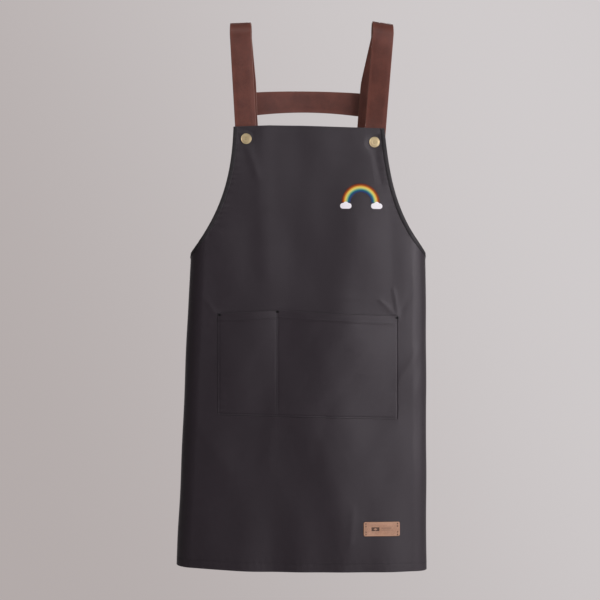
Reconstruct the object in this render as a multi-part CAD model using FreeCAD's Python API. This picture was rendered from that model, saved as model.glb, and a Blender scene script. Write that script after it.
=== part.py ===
"""Cross-back bib apron, hung by its shoulder straps over a padded hanger.

Millimetres, +Z up, +X to the apron's right as seen from the front, front face towards -Y.
The origin is on the hanger bar's centre line, half-way between the two shoulder straps.
"""
import FreeCAD
import Part
import math
import os

V = FreeCAD.Vector

# ---------------------------------------------------------------- driving dimensions
CLOTH = 1.0                 # coated cotton panel, doubled at its seams
HEM_Z = -849.5              # lower edge
BIB_TOP_Z = -149.5          # upper edge of the bib
BIB_HALF_WIDTH = 118.5
BIB_CENTRE_X = -0.9
ARMHOLE = ((0.12, 2.5), (0.32, 3.1))       # straight share of each armhole edge, and its curve
WAIST_Z = -347.5            # where the armholes reach the side folds
LEFT_SIDE_X = (-188.4, -209.5)      # side fold at the waist and at the hem
RIGHT_SIDE_X = (184.7, 185.4)
FOLD_R = 25.0               # the cloth turns round each side on this radius
SWELL = (0.3, 8.0)          # how far the front bows out, at the bib's top and at the hem
FLAP_EDGE_X = (-62.0, 58.0)         # free back edges of the flaps, at the waist
FLAP_TOP_Z = -410.5         # upper corner of each flap
FLAP_GAP = 0.3              # clearance along the fold lines
TAPE_GAP = 1.4              # the tape stops this far off them, as it stands proud of the cloth

HANGER_R = 19.0             # padded hanger arm under the shoulder straps
STRAP_W = 33.5
STRAP_T = 1.8
JOINT_GAP = 0.3             # clearance where a strap flexes
STRAP_TOP_X = (-109.3, 116.5)
BIB_SNAP_X = (-99.8, 102.4)
BIB_SNAP_Z = (-167.3, -172.7)      # the bib hangs a little lower on its right
STRAP_TAIL = 14.0           # strap beyond the centre of its snap
TAIL_R = 5.0
BACK_BEND_X = (-102.3, 99.5)       # the back straps lean inwards
BACK_BEND_Z = -74.5
BACK_SPLIT_X = (-100.3, 95.0)
BACK_SPLIT_Z = -131.5
WAIST_SNAP_X = (-78.0, 74.0)
WAIST_SNAP_Z = -426.5
CROSS_TOP = ((-112.0, -88.0), (-4.0, -83.9), (108.0, -90.5))     # upper edge of the cross strap
CROSS_H = 34.5

BINDING_W = 6.0
BINDING_T = 0.5

POCKET_TOP = ((-144.0, -442.5), (-50.5, -437.5), (140.0, -447.0))
POCKET_BOTTOM_Z = (-602.0, -609.0)
POCKET_ROOM = 9.0           # how far a pocket stands open
SEAM = 1.5                  # half width of the seam between the two pockets

LABEL_SIZE = (56.5, 22.0)
LABEL_CENTRE = (113.0, -782.0)
LABEL_T = 1.6
LABEL_CORNER_R = 2.5
THREAD = 0.7                # how far a bar of thread stands up

RAINBOW_CENTRE = (80.5, -267.8)
RAINBOW_OUTER_R = 30.0
BAND_NAMES = ("red", "gold", "green", "blue")
BAND_W = 3.4
CLOUD_W = 18.0
CLOUD_X = (57.0, 105.5)
CLOUD_DROP = 10.2           # foot of the clouds below the arch's centre
PRINT_T = 0.35

SNAP_R = 8.5
SNAP_RIM = 1.9              # width of the cap's raised rim
POST_R = 2.0
SOCKET_R = 6.0
SOCKET_H = 2.3
CAVITY_R = 3.1
STUD_FLANGE = 0.5
STUD_HEAD = (2.75, 1.35)    # radius and height
RIVET_SHANK_R = 1.6
RIVET_HEAD = (5.5, 0.6)
SIDES = ("left", "right")

FRONT = (-80.0, 0.0)        # cutting depths: in front of the folds' middle, and behind it
BEHIND = (0.0, 60.0)
MARGIN = 20.0               # how far cutting shapes run past the cloth


# ---------------------------------------------------------------- small helpers
def between(pair, z, z0, z1):
    """Value at height z on the straight line that takes pair at heights z0 and z1."""
    return pair[0] + (pair[1] - pair[0]) * (z - z0) / (z1 - z0)


def side_x(side, z):
    """Outermost x of one side fold at height z."""
    return between((LEFT_SIDE_X, RIGHT_SIDE_X)[side], z, WAIST_Z, HEM_Z)


def sign(side):
    return (-1, 1)[side]


def xz(x, z, y=0.0):
    return V(x, y, z)


def poly(points):
    """Edges of an open run of straight lines through (x, z) points."""
    return [Part.LineSegment(xz(*a), xz(*b)).toShape() for a, b in zip(points, points[1:])]


def spline(points):
    curve = Part.BSplineCurve()
    curve.interpolate([xz(*p) for p in points])
    return curve.toShape()


def arc(a, b, c):
    """Edge of the round arc through three (x, z) points."""
    return Part.Arc(xz(*a), xz(*b), xz(*c)).toShape()


def prism(edges, y0, y1):
    """Solid between y0 and y1 over a closed outline that lies in the XZ plane."""
    face = Part.Face(Part.Wire(Part.__sortEdges__(edges)))
    face.translate(V(0, y0, 0))
    return face.extrude(V(0, y1 - y0, 0))


def drilled(shape, x, z, radius, depth):
    """Shape with a round hole along Y."""
    return shape.cut(Part.makeCylinder(radius, depth[1] - depth[0], V(x, depth[0], z), V(0, 1, 0)))


def turned(profile, x, z, face_y, outward):
    """Solid of revolution about a line along Y; the profile holds (radius, height) points."""
    points = [V(x + r, face_y + outward * h, z) for r, h in profile]
    wire = Part.makePolygon(points + points[:1])
    solid = Part.Face(wire).revolve(V(x, 0, z), V(0, 1, 0), 360)
    if solid.Volume < 0:
        solid.reverse()
    return solid


# ---------------------------------------------------------------- the cloth as it hangs
def wrap_wire(z, outer, inner):
    """Closed section of the cloth at height z, between two offsets from its outer face.

    It runs from one rear tangent line, round the side fold, over the bowed front and round
    the other fold.
    """
    left, right = side_x(0, z), side_x(1, z)
    a, b = left + FOLD_R, right - FOLD_R
    bow = between(SWELL, z, BIB_TOP_Z, HEM_Z)

    def path(off):
        r = FOLD_R + off
        return [
            Part.Arc(V(a, r, z), V(left - off, 0, z), V(a, -r, z)).toShape(),
            Part.Arc(V(a, -r, z), V((a + b) / 2, -r - bow, z), V(b, -r, z)).toShape(),
            Part.Arc(V(b, -r, z), V(right + off, 0, z), V(b, r, z)).toShape(),
        ]

    ends = [
        Part.LineSegment(V(x, FOLD_R + outer, z), V(x, FOLD_R + inner, z)).toShape()
        for x in (b, a)
    ]
    there, back = path(outer), path(inner)
    return Part.Wire(there + [ends[0]] + back[::-1] + [ends[1]])


def wrap(outer, inner):
    """Sheet that follows the hanging cloth from above the bib to below the hem."""
    high, low = BIB_TOP_Z + MARGIN, HEM_Z - MARGIN
    return Part.makeLoft([wrap_wire(high, outer, inner), wrap_wire(low, outer, inner)], True, True)


def front_wire(z, outer, inner):
    """Closed section of the bowed front alone, without the side folds."""
    a, b = side_x(0, z) + FOLD_R, side_x(1, z) - FOLD_R
    bow = between(SWELL, z, BIB_TOP_Z, HEM_Z)
    r, s = FOLD_R + outer, FOLD_R + inner
    return Part.Wire([
        Part.Arc(V(a, -r, z), V((a + b) / 2, -r - bow, z), V(b, -r, z)).toShape(),
        Part.LineSegment(V(b, -r, z), V(b, -s, z)).toShape(),
        Part.Arc(V(b, -s, z), V((a + b) / 2, -s - bow, z), V(a, -s, z)).toShape(),
        Part.LineSegment(V(a, -s, z), V(a, -r, z)).toShape(),
    ])


def on_front(edges, outer, inner):
    """Layer over an outline on the apron's front, between two offsets from the cloth's face."""
    high, low = BIB_TOP_Z + MARGIN, HEM_Z - MARGIN
    layer = Part.makeLoft([front_wire(high, outer, inner), front_wire(low, outer, inner)], True, True)
    return layer.common(prism(edges, *FRONT))


def front_y(x, z):
    """Height of the cloth's outer face at one place on the front."""
    a, b = side_x(0, z) + FOLD_R, side_x(1, z) - FOLD_R
    bow = between(SWELL, z, BIB_TOP_Z, HEM_Z)
    return -FOLD_R - bow * (1 - ((2 * x - a - b) / (b - a)) ** 2)


def armhole(side, inset=0.0, count=9):
    """Front armhole edge from the bib's corner to the side fold, as (x, z) points."""
    straight, curve = ARMHOLE[side]

    def edge(s):
        z = BIB_TOP_Z + (WAIST_Z - BIB_TOP_Z) * s
        top = BIB_CENTRE_X + sign(side) * BIB_HALF_WIDTH
        reach = side_x(side, WAIST_Z) - top
        return top + reach * (straight * s + (1 - straight) * s ** curve), z

    return inset_points(edge, count, inset, -sign(side))


def back_armhole(side, inset=0.0, count=7):
    """The same edge behind the fold, from the side to the flap's upper corner."""
    start = side_x(side, WAIST_Z)
    corner = FLAP_EDGE_X[side]

    def edge(s):
        fall = 0.55 * math.sin(s * math.pi / 2) + 0.45 * math.sqrt(s)
        return start + (corner - start) * s ** 1.35, WAIST_Z + (FLAP_TOP_Z - WAIST_Z) * fall

    return inset_points(edge, count, inset, sign(side))


def inset_points(edge, count, inset, turn):
    """Points of edge(s) for s from 0 to 1, moved sideways into the cloth by inset."""
    points = []
    for i in range(count):
        s = i / (count - 1)
        (x0, z0), (x1, z1) = edge(max(s - 0.01, 0)), edge(min(s + 0.01, 1))
        length = math.hypot(x1 - x0, z1 - z0)
        x, z = edge(s)
        points.append((x - turn * (z1 - z0) / length * inset, z + turn * (x1 - x0) / length * inset))
    return points


def front_mask(inset):
    """Everything in front of the folds' middle that lies below the bib and armhole edges."""
    left, right = armhole(0, inset), armhole(1, inset)
    edges = [spline(left), spline(right)]
    edges += poly([left[0], right[0]])
    edges += poly([
        right[-1], (right[-1][0] + MARGIN, right[-1][1]), (side_x(1, HEM_Z) + MARGIN, HEM_Z),
        (side_x(0, HEM_Z) - MARGIN, HEM_Z), (left[-1][0] - MARGIN, left[-1][1]), left[-1],
    ])
    return prism(edges, *FRONT)


def back_outline(side, inset):
    """Outline behind the fold, from well outside the fold to the flap's free edge."""
    top = back_armhole(side, inset)
    outside = side_x(side, HEM_Z) + sign(side) * MARGIN
    shift = side_x(side, HEM_Z) - side_x(side, WAIST_Z)
    free_corner = (FLAP_EDGE_X[side] + shift, HEM_Z)
    rest = [top[-1], free_corner, (outside, HEM_Z), (outside, top[0][1]), top[0]]
    return [spline(top)] + poly(rest)


def fold_line(side, beyond=0.0):
    """Rear tangent line of a side fold, as its points at the waist and at the hem."""
    x0, x1 = (side_x(side, z) - sign(side) * (FOLD_R + beyond) for z in (WAIST_Z, HEM_Z))
    return (x0, WAIST_Z), (x1, HEM_Z)


def flap_side(side, gap=FLAP_GAP):
    """Everything between the fold line and the apron's middle, behind the wearer."""
    (x0, z0), (x1, z1) = fold_line(side, gap)
    grow = (x1 - x0) / (z1 - z0) * MARGIN
    high, low = z0 + MARGIN, z1 - MARGIN
    outline = [(x0 + grow, high), (x1 - grow, low), (0, low), (0, high), (x0 + grow, high)]
    return prism(poly(outline), *BEHIND)


def front_panel():
    """Bib, skirt and both side folds, one piece of cloth."""
    mask = front_mask(BINDING_T)
    for side in (0, 1):
        mask = mask.fuse(prism(back_outline(side, BINDING_T), *BEHIND))
    cloth = wrap(0, -CLOTH).common(mask)
    for x, z in zip(BIB_SNAP_X, BIB_SNAP_Z):
        cloth = drilled(cloth, x, z, POST_R + 0.2, FRONT)
    return cloth


def flap_panel(side):
    """The cloth behind the wearer, flat from the fold line to its free edge."""
    cloth = prism(back_outline(side, BINDING_T), FOLD_R - CLOTH, FOLD_R)
    cloth = cloth.common(flap_side(side))
    return drilled(cloth, WAIST_SNAP_X[side], WAIST_SNAP_Z, POST_R + 0.2, BEHIND)


def band(run, side, fold_end):
    """Outline of the tape along an armhole run; at its fold end it carries on past the fold."""
    edge, inner = run(side), run(side, BINDING_W)
    (x, z), other = edge[fold_end], -1 - fold_end
    past = x + sign(side) * MARGIN
    ends = poly([edge[fold_end], (past, z), (past, z - 1.4 * BINDING_W), inner[fold_end]])
    return [spline(edge), spline(inner)] + ends + poly([edge[other], inner[other]])


def armhole_binding(side):
    """Tape folded over the armhole's edge, from the bib's corner to the rear fold line."""
    front = prism(band(armhole, side, -1), *FRONT)
    behind = prism(band(back_armhole, side, 0), *BEHIND)
    tape = wrap(BINDING_T, -CLOTH - BINDING_T).common(front.fuse(behind))
    return tape.cut(front_panel()).cut(flap_side(side, -TAPE_GAP))


def flap_binding(side):
    """The same tape along the flap's upper edge."""
    tape = prism(band(back_armhole, side, 0), FOLD_R - CLOTH - BINDING_T, FOLD_R + BINDING_T)
    return tape.common(flap_side(side, TAPE_GAP)).cut(flap_panel(side))


# ---------------------------------------------------------------- what is sewn to the front
def pocket_panel():
    """Twin pocket: one cloth, sewn down at its sides, its foot and along the divider."""
    (x0, z0), (xm, zm), (x1, z1) = POCKET_TOP
    low0, low1 = POCKET_BOTTOM_Z
    outline = [(x0, z0), (xm, zm), (x1, z1), (x1, low1), (x0, low0), (x0, z0)]
    pouch = on_front(poly(outline), POCKET_ROOM + CLOTH, 0.05)
    above = 12
    for a, b in ((x0 + CLOTH, xm - SEAM), (xm + SEAM, x1 - CLOTH)):
        foot = [between((low0, low1), x, x0, x1) + CLOTH for x in (a, b)]
        room = [(a, foot[0]), (b, foot[1]), (b, zm + above), (a, zm + above), (a, foot[0])]
        pouch = pouch.cut(on_front(poly(room), POCKET_ROOM, -CLOTH))
    return pouch


def pocket_bartacks():
    """Dense thread bars at the mouth's corners and over the divider."""
    stand = POCKET_ROOM + CLOTH
    inwards = (2.5, 0, -2.5)
    bars = [rounded((x + dx, z - 2.5), (5.0, 2.0), 0.9) for (x, z), dx in zip(POCKET_TOP, inwards)]
    return Part.Compound([on_front(bar, stand + THREAD, stand + 0.05) for bar in bars])


def rounded(centre, size, r):
    """Outline of a rectangle with round corners."""
    cx, cz = centre
    w, h = size[0] / 2, size[1] / 2
    edges = []
    for sx, sz in ((1, 1), (-1, 1), (-1, -1), (1, -1)):
        x, z = cx + sx * (w - r), cz + sz * (h - r)
        lean = r * math.sqrt(0.5)
        edges.append(arc((x + sx * r, z), (x + sx * lean, z + sz * lean), (x, z + sz * r)))
    for s in (1, -1):
        edges += poly([(cx - w + r, cz + s * h), (cx + w - r, cz + s * h)])
        edges += poly([(cx + s * w, cz - h + r), (cx + s * w, cz + h - r)])
    return edges


def label_patch():
    return on_front(rounded(LABEL_CENTRE, LABEL_SIZE, LABEL_CORNER_R), LABEL_T + 0.05, 0.05)


def label_corner_stitches():
    """Two short thread bars over each end of the patch."""
    bars = []
    for sx in (-1, 1):
        for sz in (-1, 1):
            x = LABEL_CENTRE[0] + sx * (LABEL_SIZE[0] / 2 - 3.5)
            z = LABEL_CENTRE[1] + sz * (LABEL_SIZE[1] / 2 - 4.5)
            bars.append(on_front(rounded((x, z), (1.0, 4.0), 0.45), LABEL_T + THREAD, LABEL_T + 0.1))
    return Part.Compound(bars)


def rainbow_band(i):
    """One colour of the arch: a half ring on the cloth."""
    cx, cz = RAINBOW_CENTRE
    outer = RAINBOW_OUTER_R - i * BAND_W
    inner = outer - BAND_W + 0.05
    edges = [
        arc((cx - outer, cz), (cx, cz + outer), (cx + outer, cz)),
        arc((cx - inner, cz), (cx, cz + inner), (cx + inner, cz)),
    ]
    edges += poly([(cx - outer, cz), (cx - inner, cz)]) + poly([(cx + outer, cz), (cx + inner, cz)])
    return on_front(edges, PRINT_T, 0.02)


def cloud(side):
    """Three round puffs over a flat foot, under one end of the arch."""
    cx, foot = CLOUD_X[side], RAINBOW_CENTRE[1] - CLOUD_DROP
    r = CLOUD_W / 4
    puffs = ((cx - r, r), (cx + r, r), (cx, r * 1.5))
    shape = None
    for x, up in puffs:
        ring = [Part.Circle(xz(x, foot + up), V(0, 1, 0), r).toShape()]
        puff = on_front(ring, PRINT_T + 0.4, PRINT_T + 0.03)
        shape = puff if shape is None else shape.fuse(puff)
    return shape.removeSplitter()


# ---------------------------------------------------------------- straps
def ribbon(centres, y0, y1, tail_r=0.0):
    """Flat strap in the XZ plane through (x, z) centres, with a rounded tail if asked."""
    half = STRAP_W / 2
    left = [(x - half, z) for x, z in centres]
    right = [(x + half, z) for x, z in centres]
    strap = prism(poly(left + right[::-1] + left[:1]), y0, y1)
    if tail_r:
        strap = strap.makeFillet(tail_r, tail_edges(strap, centres[-1][1]))
    return strap


def tail_edges(strap, z):
    """The two short edges across the strap's thickness at its lower end."""
    low = z + 0.01
    return [e for e in strap.Edges if abs(e.tangentAt(0).y) > 0.9 and e.BoundBox.ZMax < low]


def strap_loop(side):
    """Half turn of strap over the hanger arm."""
    x = STRAP_TOP_X[side] - STRAP_W / 2
    ring = Part.makeCylinder(HANGER_R + STRAP_T, STRAP_W, V(x, 0, 0), V(1, 0, 0))
    ring = ring.cut(Part.makeCylinder(HANGER_R, STRAP_W, V(x, 0, 0), V(1, 0, 0)))
    return ring.common(Part.makeBox(STRAP_W + 2, 60, 40, V(x - 1, -30, 0)))


def strap_front(side):
    """Front strap from the hanger to its snap behind the bib."""
    x, z = BIB_SNAP_X[side], BIB_SNAP_Z[side]
    centres = [(STRAP_TOP_X[side], -JOINT_GAP), (x, z), (x, z - STRAP_TAIL)]
    strap = ribbon(centres, -HANGER_R - STRAP_T, -HANGER_R, TAIL_R)
    return drilled(strap, x, z, RIVET_SHANK_R + 0.2, FRONT)


def strap_back_upper(side):
    """Back strap from the hanger to just below the cross strap."""
    bend, split = (BACK_BEND_X[side], BACK_BEND_Z), (BACK_SPLIT_X[side], BACK_SPLIT_Z)
    centres = [(STRAP_TOP_X[side], 0), bend, split]
    return ribbon(centres, HANGER_R, HANGER_R + STRAP_T)


def strap_back_lower(side):
    """Back strap from below the cross strap to its snap inside the flap's corner."""
    x = WAIST_SNAP_X[side]
    top = (BACK_SPLIT_X[side], BACK_SPLIT_Z - JOINT_GAP)
    centres = [top, (x, WAIST_SNAP_Z), (x, WAIST_SNAP_Z - STRAP_TAIL)]
    strap = ribbon(centres, HANGER_R, HANGER_R + STRAP_T, TAIL_R)
    return drilled(strap, x, WAIST_SNAP_Z, RIVET_SHANK_R + 0.2, BEHIND)


def cross_strap():
    """Bowed strap between the back straps, on their outer side."""
    low = [(x, z - CROSS_H) for x, z in CROSS_TOP]
    edges = [arc(*CROSS_TOP), arc(*low)]
    edges += poly([CROSS_TOP[0], low[0]]) + poly([CROSS_TOP[2], low[2]])
    y = HANGER_R + STRAP_T + 0.05
    return prism(edges, y, y + STRAP_T)


def cross_strap_stitches():
    """A square of thread where each end of the cross strap is sewn to a back strap."""
    y = HANGER_R + 2 * STRAP_T + 0.1
    frames = []
    for x, z in (CROSS_TOP[0], CROSS_TOP[2]):
        centre = (x + math.copysign(14.5, -x), z - CROSS_H / 2 + 0.3)
        frame = prism(rounded(centre, (19, 19), 1.0), y, y + 0.4)
        frames.append(frame.cut(prism(rounded(centre, (17.4, 17.4), 0.5), y - 1, y + 1)))
    return Part.Compound(frames)


# ---------------------------------------------------------------- press snaps
def snap_parts(x, z, face_y, outward):
    """Cap, socket, stud and rivet of one snap.

    Heights are counted outwards from the cloth's outer face, so what lies inside is negative.
    """
    strap_face = HANGER_R + STRAP_T - abs(face_y)
    rim = SNAP_R - SNAP_RIM
    inside = -CLOTH - 0.05
    cap = [(0, -2.1), (POST_R, -2.1), (POST_R, 0.12), (SNAP_R - 0.4, 0.12), (SNAP_R, 0.5),
           (SNAP_R, 1.1), (SNAP_R - 0.5, 1.6), (rim + 0.5, 1.6), (rim, 1.0), (0, 1.25)]
    floor = inside - 1.1
    socket = [(POST_R + 0.05, inside), (SOCKET_R, inside), (SOCKET_R, inside - SOCKET_H),
              (CAVITY_R, inside - SOCKET_H), (CAVITY_R, floor), (POST_R + 0.05, floor)]
    foot = strap_face + 0.03
    deck = foot + STUD_FLANGE
    bore = RIVET_SHANK_R + 0.05
    head_r, head_h = STUD_HEAD
    stud = [(bore, foot), (SOCKET_R, foot), (SOCKET_R, deck), (head_r, deck),
            (head_r, deck + head_h - 0.4), (head_r - 0.4, deck + head_h), (bore, deck + head_h)]
    under = strap_face - STRAP_T - 0.03
    rivet_r, rivet_h = RIVET_HEAD
    rivet = [(0, under - rivet_h), (rivet_r - 0.3, under - rivet_h), (rivet_r, under - 0.25),
             (rivet_r, under), (RIVET_SHANK_R, under), (RIVET_SHANK_R, deck + head_h), (0, deck + head_h)]
    profiles = {"cap": cap, "socket": socket, "stud": stud, "rivet": rivet}
    return {name: turned(p, x, z, face_y, outward) for name, p in profiles.items()}


# ---------------------------------------------------------------- all the pieces by name
def all_parts():
    parts = {
        "front_panel": front_panel(),
        "pocket_panel": pocket_panel(),
        "pocket_bartacks": pocket_bartacks(),
        "label_patch": label_patch(),
        "label_corner_stitches": label_corner_stitches(),
        "cross_strap": cross_strap(),
        "cross_strap_stitches": cross_strap_stitches(),
    }
    for i, name in enumerate(BAND_NAMES):
        parts[f"rainbow_{name}_band"] = rainbow_band(i)
    for side, name in enumerate(SIDES):
        parts[f"flap_panel_{name}"] = flap_panel(side)
        parts[f"armhole_binding_{name}"] = armhole_binding(side)
        parts[f"flap_binding_{name}"] = flap_binding(side)
        parts[f"cloud_{name}"] = cloud(side)
        parts[f"strap_loop_{name}"] = strap_loop(side)
        parts[f"strap_front_{name}"] = strap_front(side)
        parts[f"strap_back_upper_{name}"] = strap_back_upper(side)
        parts[f"strap_back_lower_{name}"] = strap_back_lower(side)
        bib_face = front_y(BIB_SNAP_X[side], BIB_SNAP_Z[side])
        for piece, solid in snap_parts(BIB_SNAP_X[side], BIB_SNAP_Z[side], bib_face, -1).items():
            parts[f"bib_snap_{name}_{piece}"] = solid
        for piece, solid in snap_parts(WAIST_SNAP_X[side], WAIST_SNAP_Z, FOLD_R, 1).items():
            parts[f"waist_snap_{name}_{piece}"] = solid
    return parts


def main():
    os.makedirs("parts", exist_ok=True)
    for name, shape in all_parts().items():
        print(f"{name:26s} solids {len(shape.Solids)} valid {shape.isValid()} mm3 {shape.Volume:9.1f}")
        shape.exportStep(f"parts/{name}.step")


main()
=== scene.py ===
import math

import bmesh
import bpy
import numpy as np
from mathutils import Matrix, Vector


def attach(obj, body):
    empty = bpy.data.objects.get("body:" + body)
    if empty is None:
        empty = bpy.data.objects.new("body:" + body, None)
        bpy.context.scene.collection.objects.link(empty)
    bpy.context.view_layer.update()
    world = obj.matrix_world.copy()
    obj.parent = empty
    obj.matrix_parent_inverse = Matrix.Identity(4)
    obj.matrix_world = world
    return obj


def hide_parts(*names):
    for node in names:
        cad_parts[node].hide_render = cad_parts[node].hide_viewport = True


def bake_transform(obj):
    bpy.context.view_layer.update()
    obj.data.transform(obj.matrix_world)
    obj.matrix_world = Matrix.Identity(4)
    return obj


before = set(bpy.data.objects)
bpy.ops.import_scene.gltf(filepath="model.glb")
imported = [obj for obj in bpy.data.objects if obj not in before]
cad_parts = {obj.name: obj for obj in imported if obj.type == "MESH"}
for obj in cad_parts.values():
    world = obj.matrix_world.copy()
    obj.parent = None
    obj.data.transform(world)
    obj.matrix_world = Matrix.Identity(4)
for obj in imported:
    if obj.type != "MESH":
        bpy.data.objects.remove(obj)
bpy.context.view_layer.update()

# Cross-back bib apron in metres: cloth, tape, pocket, leather straps, press snaps, patch and print.

# ---------------------------------------------------------------- sizes, as in the part's source
CLOTH = 0.001
BIB_TOP_Z, WAIST_Z, HEM_Z = -0.1495, -0.3475, -0.8495
BIB_CENTRE_X, BIB_HALF_WIDTH = -0.0009, 0.1185
ARMHOLE = {"left": (0.12, 2.5), "right": (0.32, 3.1)}
SIDE_X = {"left": (-0.1884, -0.2095), "right": (0.1847, 0.1854)}
SIGN = {"left": -1, "right": 1}
FOLD_R = 0.025
SWELL = (0.0003, 0.008)
FLAP_EDGE_X = {"left": -0.062, "right": 0.058}
FLAP_TOP_Z = -0.4105
HANGER_R, STRAP_W, STRAP_T = 0.019, 0.0335, 0.0018
STRAP_TOP_X = {"left": -0.1093, "right": 0.1165}
BIB_SNAP = {"left": (-0.0998, -0.1673), "right": (0.1024, -0.1727)}
WAIST_SNAP = {"left": (-0.078, -0.4265), "right": (0.074, -0.4265)}
STRAP_TAIL, TAIL_R = 0.014, 0.005
BACK_BEND = {"left": (-0.1023, -0.0745), "right": (0.0995, -0.0745)}
BACK_SPLIT = {"left": (-0.1003, -0.1315), "right": (0.0950, -0.1315)}
CROSS_TOP = ((-0.112, -0.088), (-0.004, -0.0839), (0.108, -0.0905))
CROSS_H = 0.0345
POCKET_TOP = ((-0.144, -0.4425), (-0.0505, -0.4375), (0.140, -0.4470))
POCKET_FOOT_Z = (-0.6020, -0.6090)
LABEL_SIZE, LABEL_CENTRE = (0.0565, 0.022), (0.113, -0.7820)
LABEL_T, LABEL_CORNER_R = 0.0016, 0.0025
RAINBOW_CENTRE, RAINBOW_R, BAND_W = (0.0805, -0.2678), 0.030, 0.0034
BAND_NAMES = ("red", "gold", "green", "blue")
CLOUD_X, CLOUD_R, CLOUD_FOOT_Z = {"left": 0.057, "right": 0.1055}, 0.0045, -0.2780
HEM_DEPTH = 0.012
SIDES = ("left", "right")

# ---------------------------------------------------------------- small distances and shares
HAIR = 0.00005                      # gap left between two layers of cloth
SNAP_FLAT_R = 0.013                 # the cloth lies flat round a snap this far
EDGE_ROUND = 0.45                   # how far a layer's edge bulges, as a share of its thickness
TURNED_DEEP, SIDE_TURNED_DEEP = 0.00075, 0.0007    # under face of the hem's and the side hems' second layer
SIDE_HEM, SIDE_SEAM_IN = 0.011, 0.009
SEAM_LIFT = 0.0006                  # thread on the tape
TAPE_SEAM_IN, TAPE_UNDER = 0.0047, 0.0016
FOLD_GAP = 0.0008                   # where a seam stops short of the side fold's middle
POCKET_SEAM_IN, DIVIDER_HALF = 0.0022, 0.0014
POCKET_DEPTH = 0.16                 # the pocket's usual height, to turn a distance into a share of it
MOUTH_HEM = (0.0125, 0.0145)        # where the mouth's turned cloth ends
PATCH_STEP = (-0.0002, 0.0003)      # soft edge of a mark on the patch
CUT_FROM, RIM_FROM = 0.972, 0.8     # shares of a strap's half width: its cut edge, and its rubbed edge
PRESSED = (0.88, 0.93)              # the pressed line along each edge
STUDIO_FLOOR_Z, FLOOR_R = -1.62, 2.0


# ---------------------------------------------------------------- the cloth's shape
def between(pair, v, v0, v1):
    return pair[0] + (pair[1] - pair[0]) * (v - v0) / (v1 - v0)


def smooth(v, a, b):
    t = np.clip((v - a) / (b - a), 0.0, 1.0)
    return t * t * (3 - 2 * t)


def bell(v, centre, width):
    return np.exp(-((v - centre) / width) ** 2)


def unit(v):
    return v / np.linalg.norm(v, axis=-1, keepdims=True)


def run_length(line):
    """Distance along a line of places, from its first one."""
    return np.concatenate([[0], np.cumsum(np.linalg.norm(np.diff(line, axis=0), axis=1))])


def side_x(side, z):
    return between(SIDE_X[side], z, WAIST_Z, HEM_Z)


def centre_x(z):
    return (side_x("left", z) + side_x("right", z)) / 2


def section(z):
    """Where the side folds start at a height: distance from the middle, and the lean there."""
    half = (side_x("right", z) - side_x("left", z)) / 2
    swell = between(SWELL, z, BIB_TOP_Z, HEM_Z)
    start = half - FOLD_R
    for _ in range(3):
        lean = 2 * swell / start
        start = half - FOLD_R * (1 - np.sin(lean))
    return start, lean, swell


def hung(u, z):
    """Undraped outer face: u is measured along the cloth from its middle, z is height."""
    start, lean, swell = section(z)
    s = np.abs(u)
    turn = np.clip(lean + (s - start) / FOLD_R, lean, math.pi)
    beyond = np.maximum(s - start - FOLD_R * (math.pi - lean), 0)
    flat = s <= start
    x = np.where(flat, s, start + FOLD_R * (np.sin(turn) - np.sin(lean)) - beyond)
    y = np.where(flat, -FOLD_R - swell * (1 - (s / start) ** 2),
                 -FOLD_R + FOLD_R * (np.cos(lean) - np.cos(turn)))
    return np.stack([centre_x(z) + np.sign(u) * x, y, z + ride_up(u, z)], -1)


BIB_RISE = ((-0.12, -0.065, -0.015, 0.02, 0.05, 0.12),
            (0.0012, 0.0031, 0.0024, 0.0013, 0.0003, -0.0020))


def ride_up(u, z):
    """The cloth hangs a little high at the bib's left corner and at the hem's side folds."""
    bib = np.interp(u, *BIB_RISE) * smooth(z, -0.34, BIB_TOP_Z)
    left = 0.0058 * smooth(-u, 0.05, 0.21) - 0.0012 * smooth(u, 0.17, 0.21)
    return bib + (0.0009 + left) * smooth(-z, 0.62, -HEM_Z)


def facing(shape, u, z, step=0.0006):
    """Unit outward normals of shape(u, z)."""
    across = shape(u + step, z) - shape(u - step, z)
    up = shape(u, z + step) - shape(u, z - step)
    return unit(np.cross(across, up))


def mid_fold(z):
    """u of the outermost line of a side fold."""
    start, lean, _ = section(z)
    return start + FOLD_R * (math.pi / 2 - lean)


def fold_end(z):
    """u where the cloth behind becomes flat, on the flap's turning line."""
    start, lean, _ = section(z)
    return start + FOLD_R * (math.pi - lean)


def flap_edge(side, z):
    """u of the flap's free edge, which runs beside the fold."""
    corner = abs(side_x(side, FLAP_TOP_Z)) - FOLD_R - abs(FLAP_EDGE_X[side])
    return fold_end(z) + corner


def front_u(x, z):
    """u of a place seen from the front, up to the middle of the side fold."""
    start, lean, _ = section(z)
    s = np.abs(x - centre_x(z))
    bent = start + FOLD_R * (np.arcsin(np.clip((s - start) / FOLD_R + np.sin(lean), -1, 1)) - lean)
    return np.sign(x - centre_x(z)) * np.where(s <= start, s, bent)


def behind_u(x, z):
    """u of a place seen from behind."""
    start, lean, _ = section(z)
    s = np.abs(x - centre_x(z))
    rise = (s - start) / FOLD_R + np.sin(lean)
    bent = start + FOLD_R * (math.pi - np.arcsin(np.clip(rise, 0, 1)) - lean)
    plain = start + FOLD_R * (math.pi - lean) + (start - FOLD_R * np.sin(lean) - s)
    return np.sign(x - centre_x(z)) * np.where(rise > 0, bent, plain)


def armhole_x(side, s):
    top = BIB_CENTRE_X + SIGN[side] * BIB_HALF_WIDTH
    reach = side_x(side, WAIST_Z) - top
    straight, curve = ARMHOLE[side]
    return top + reach * (straight * s + (1 - straight) * s ** curve)


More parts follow.
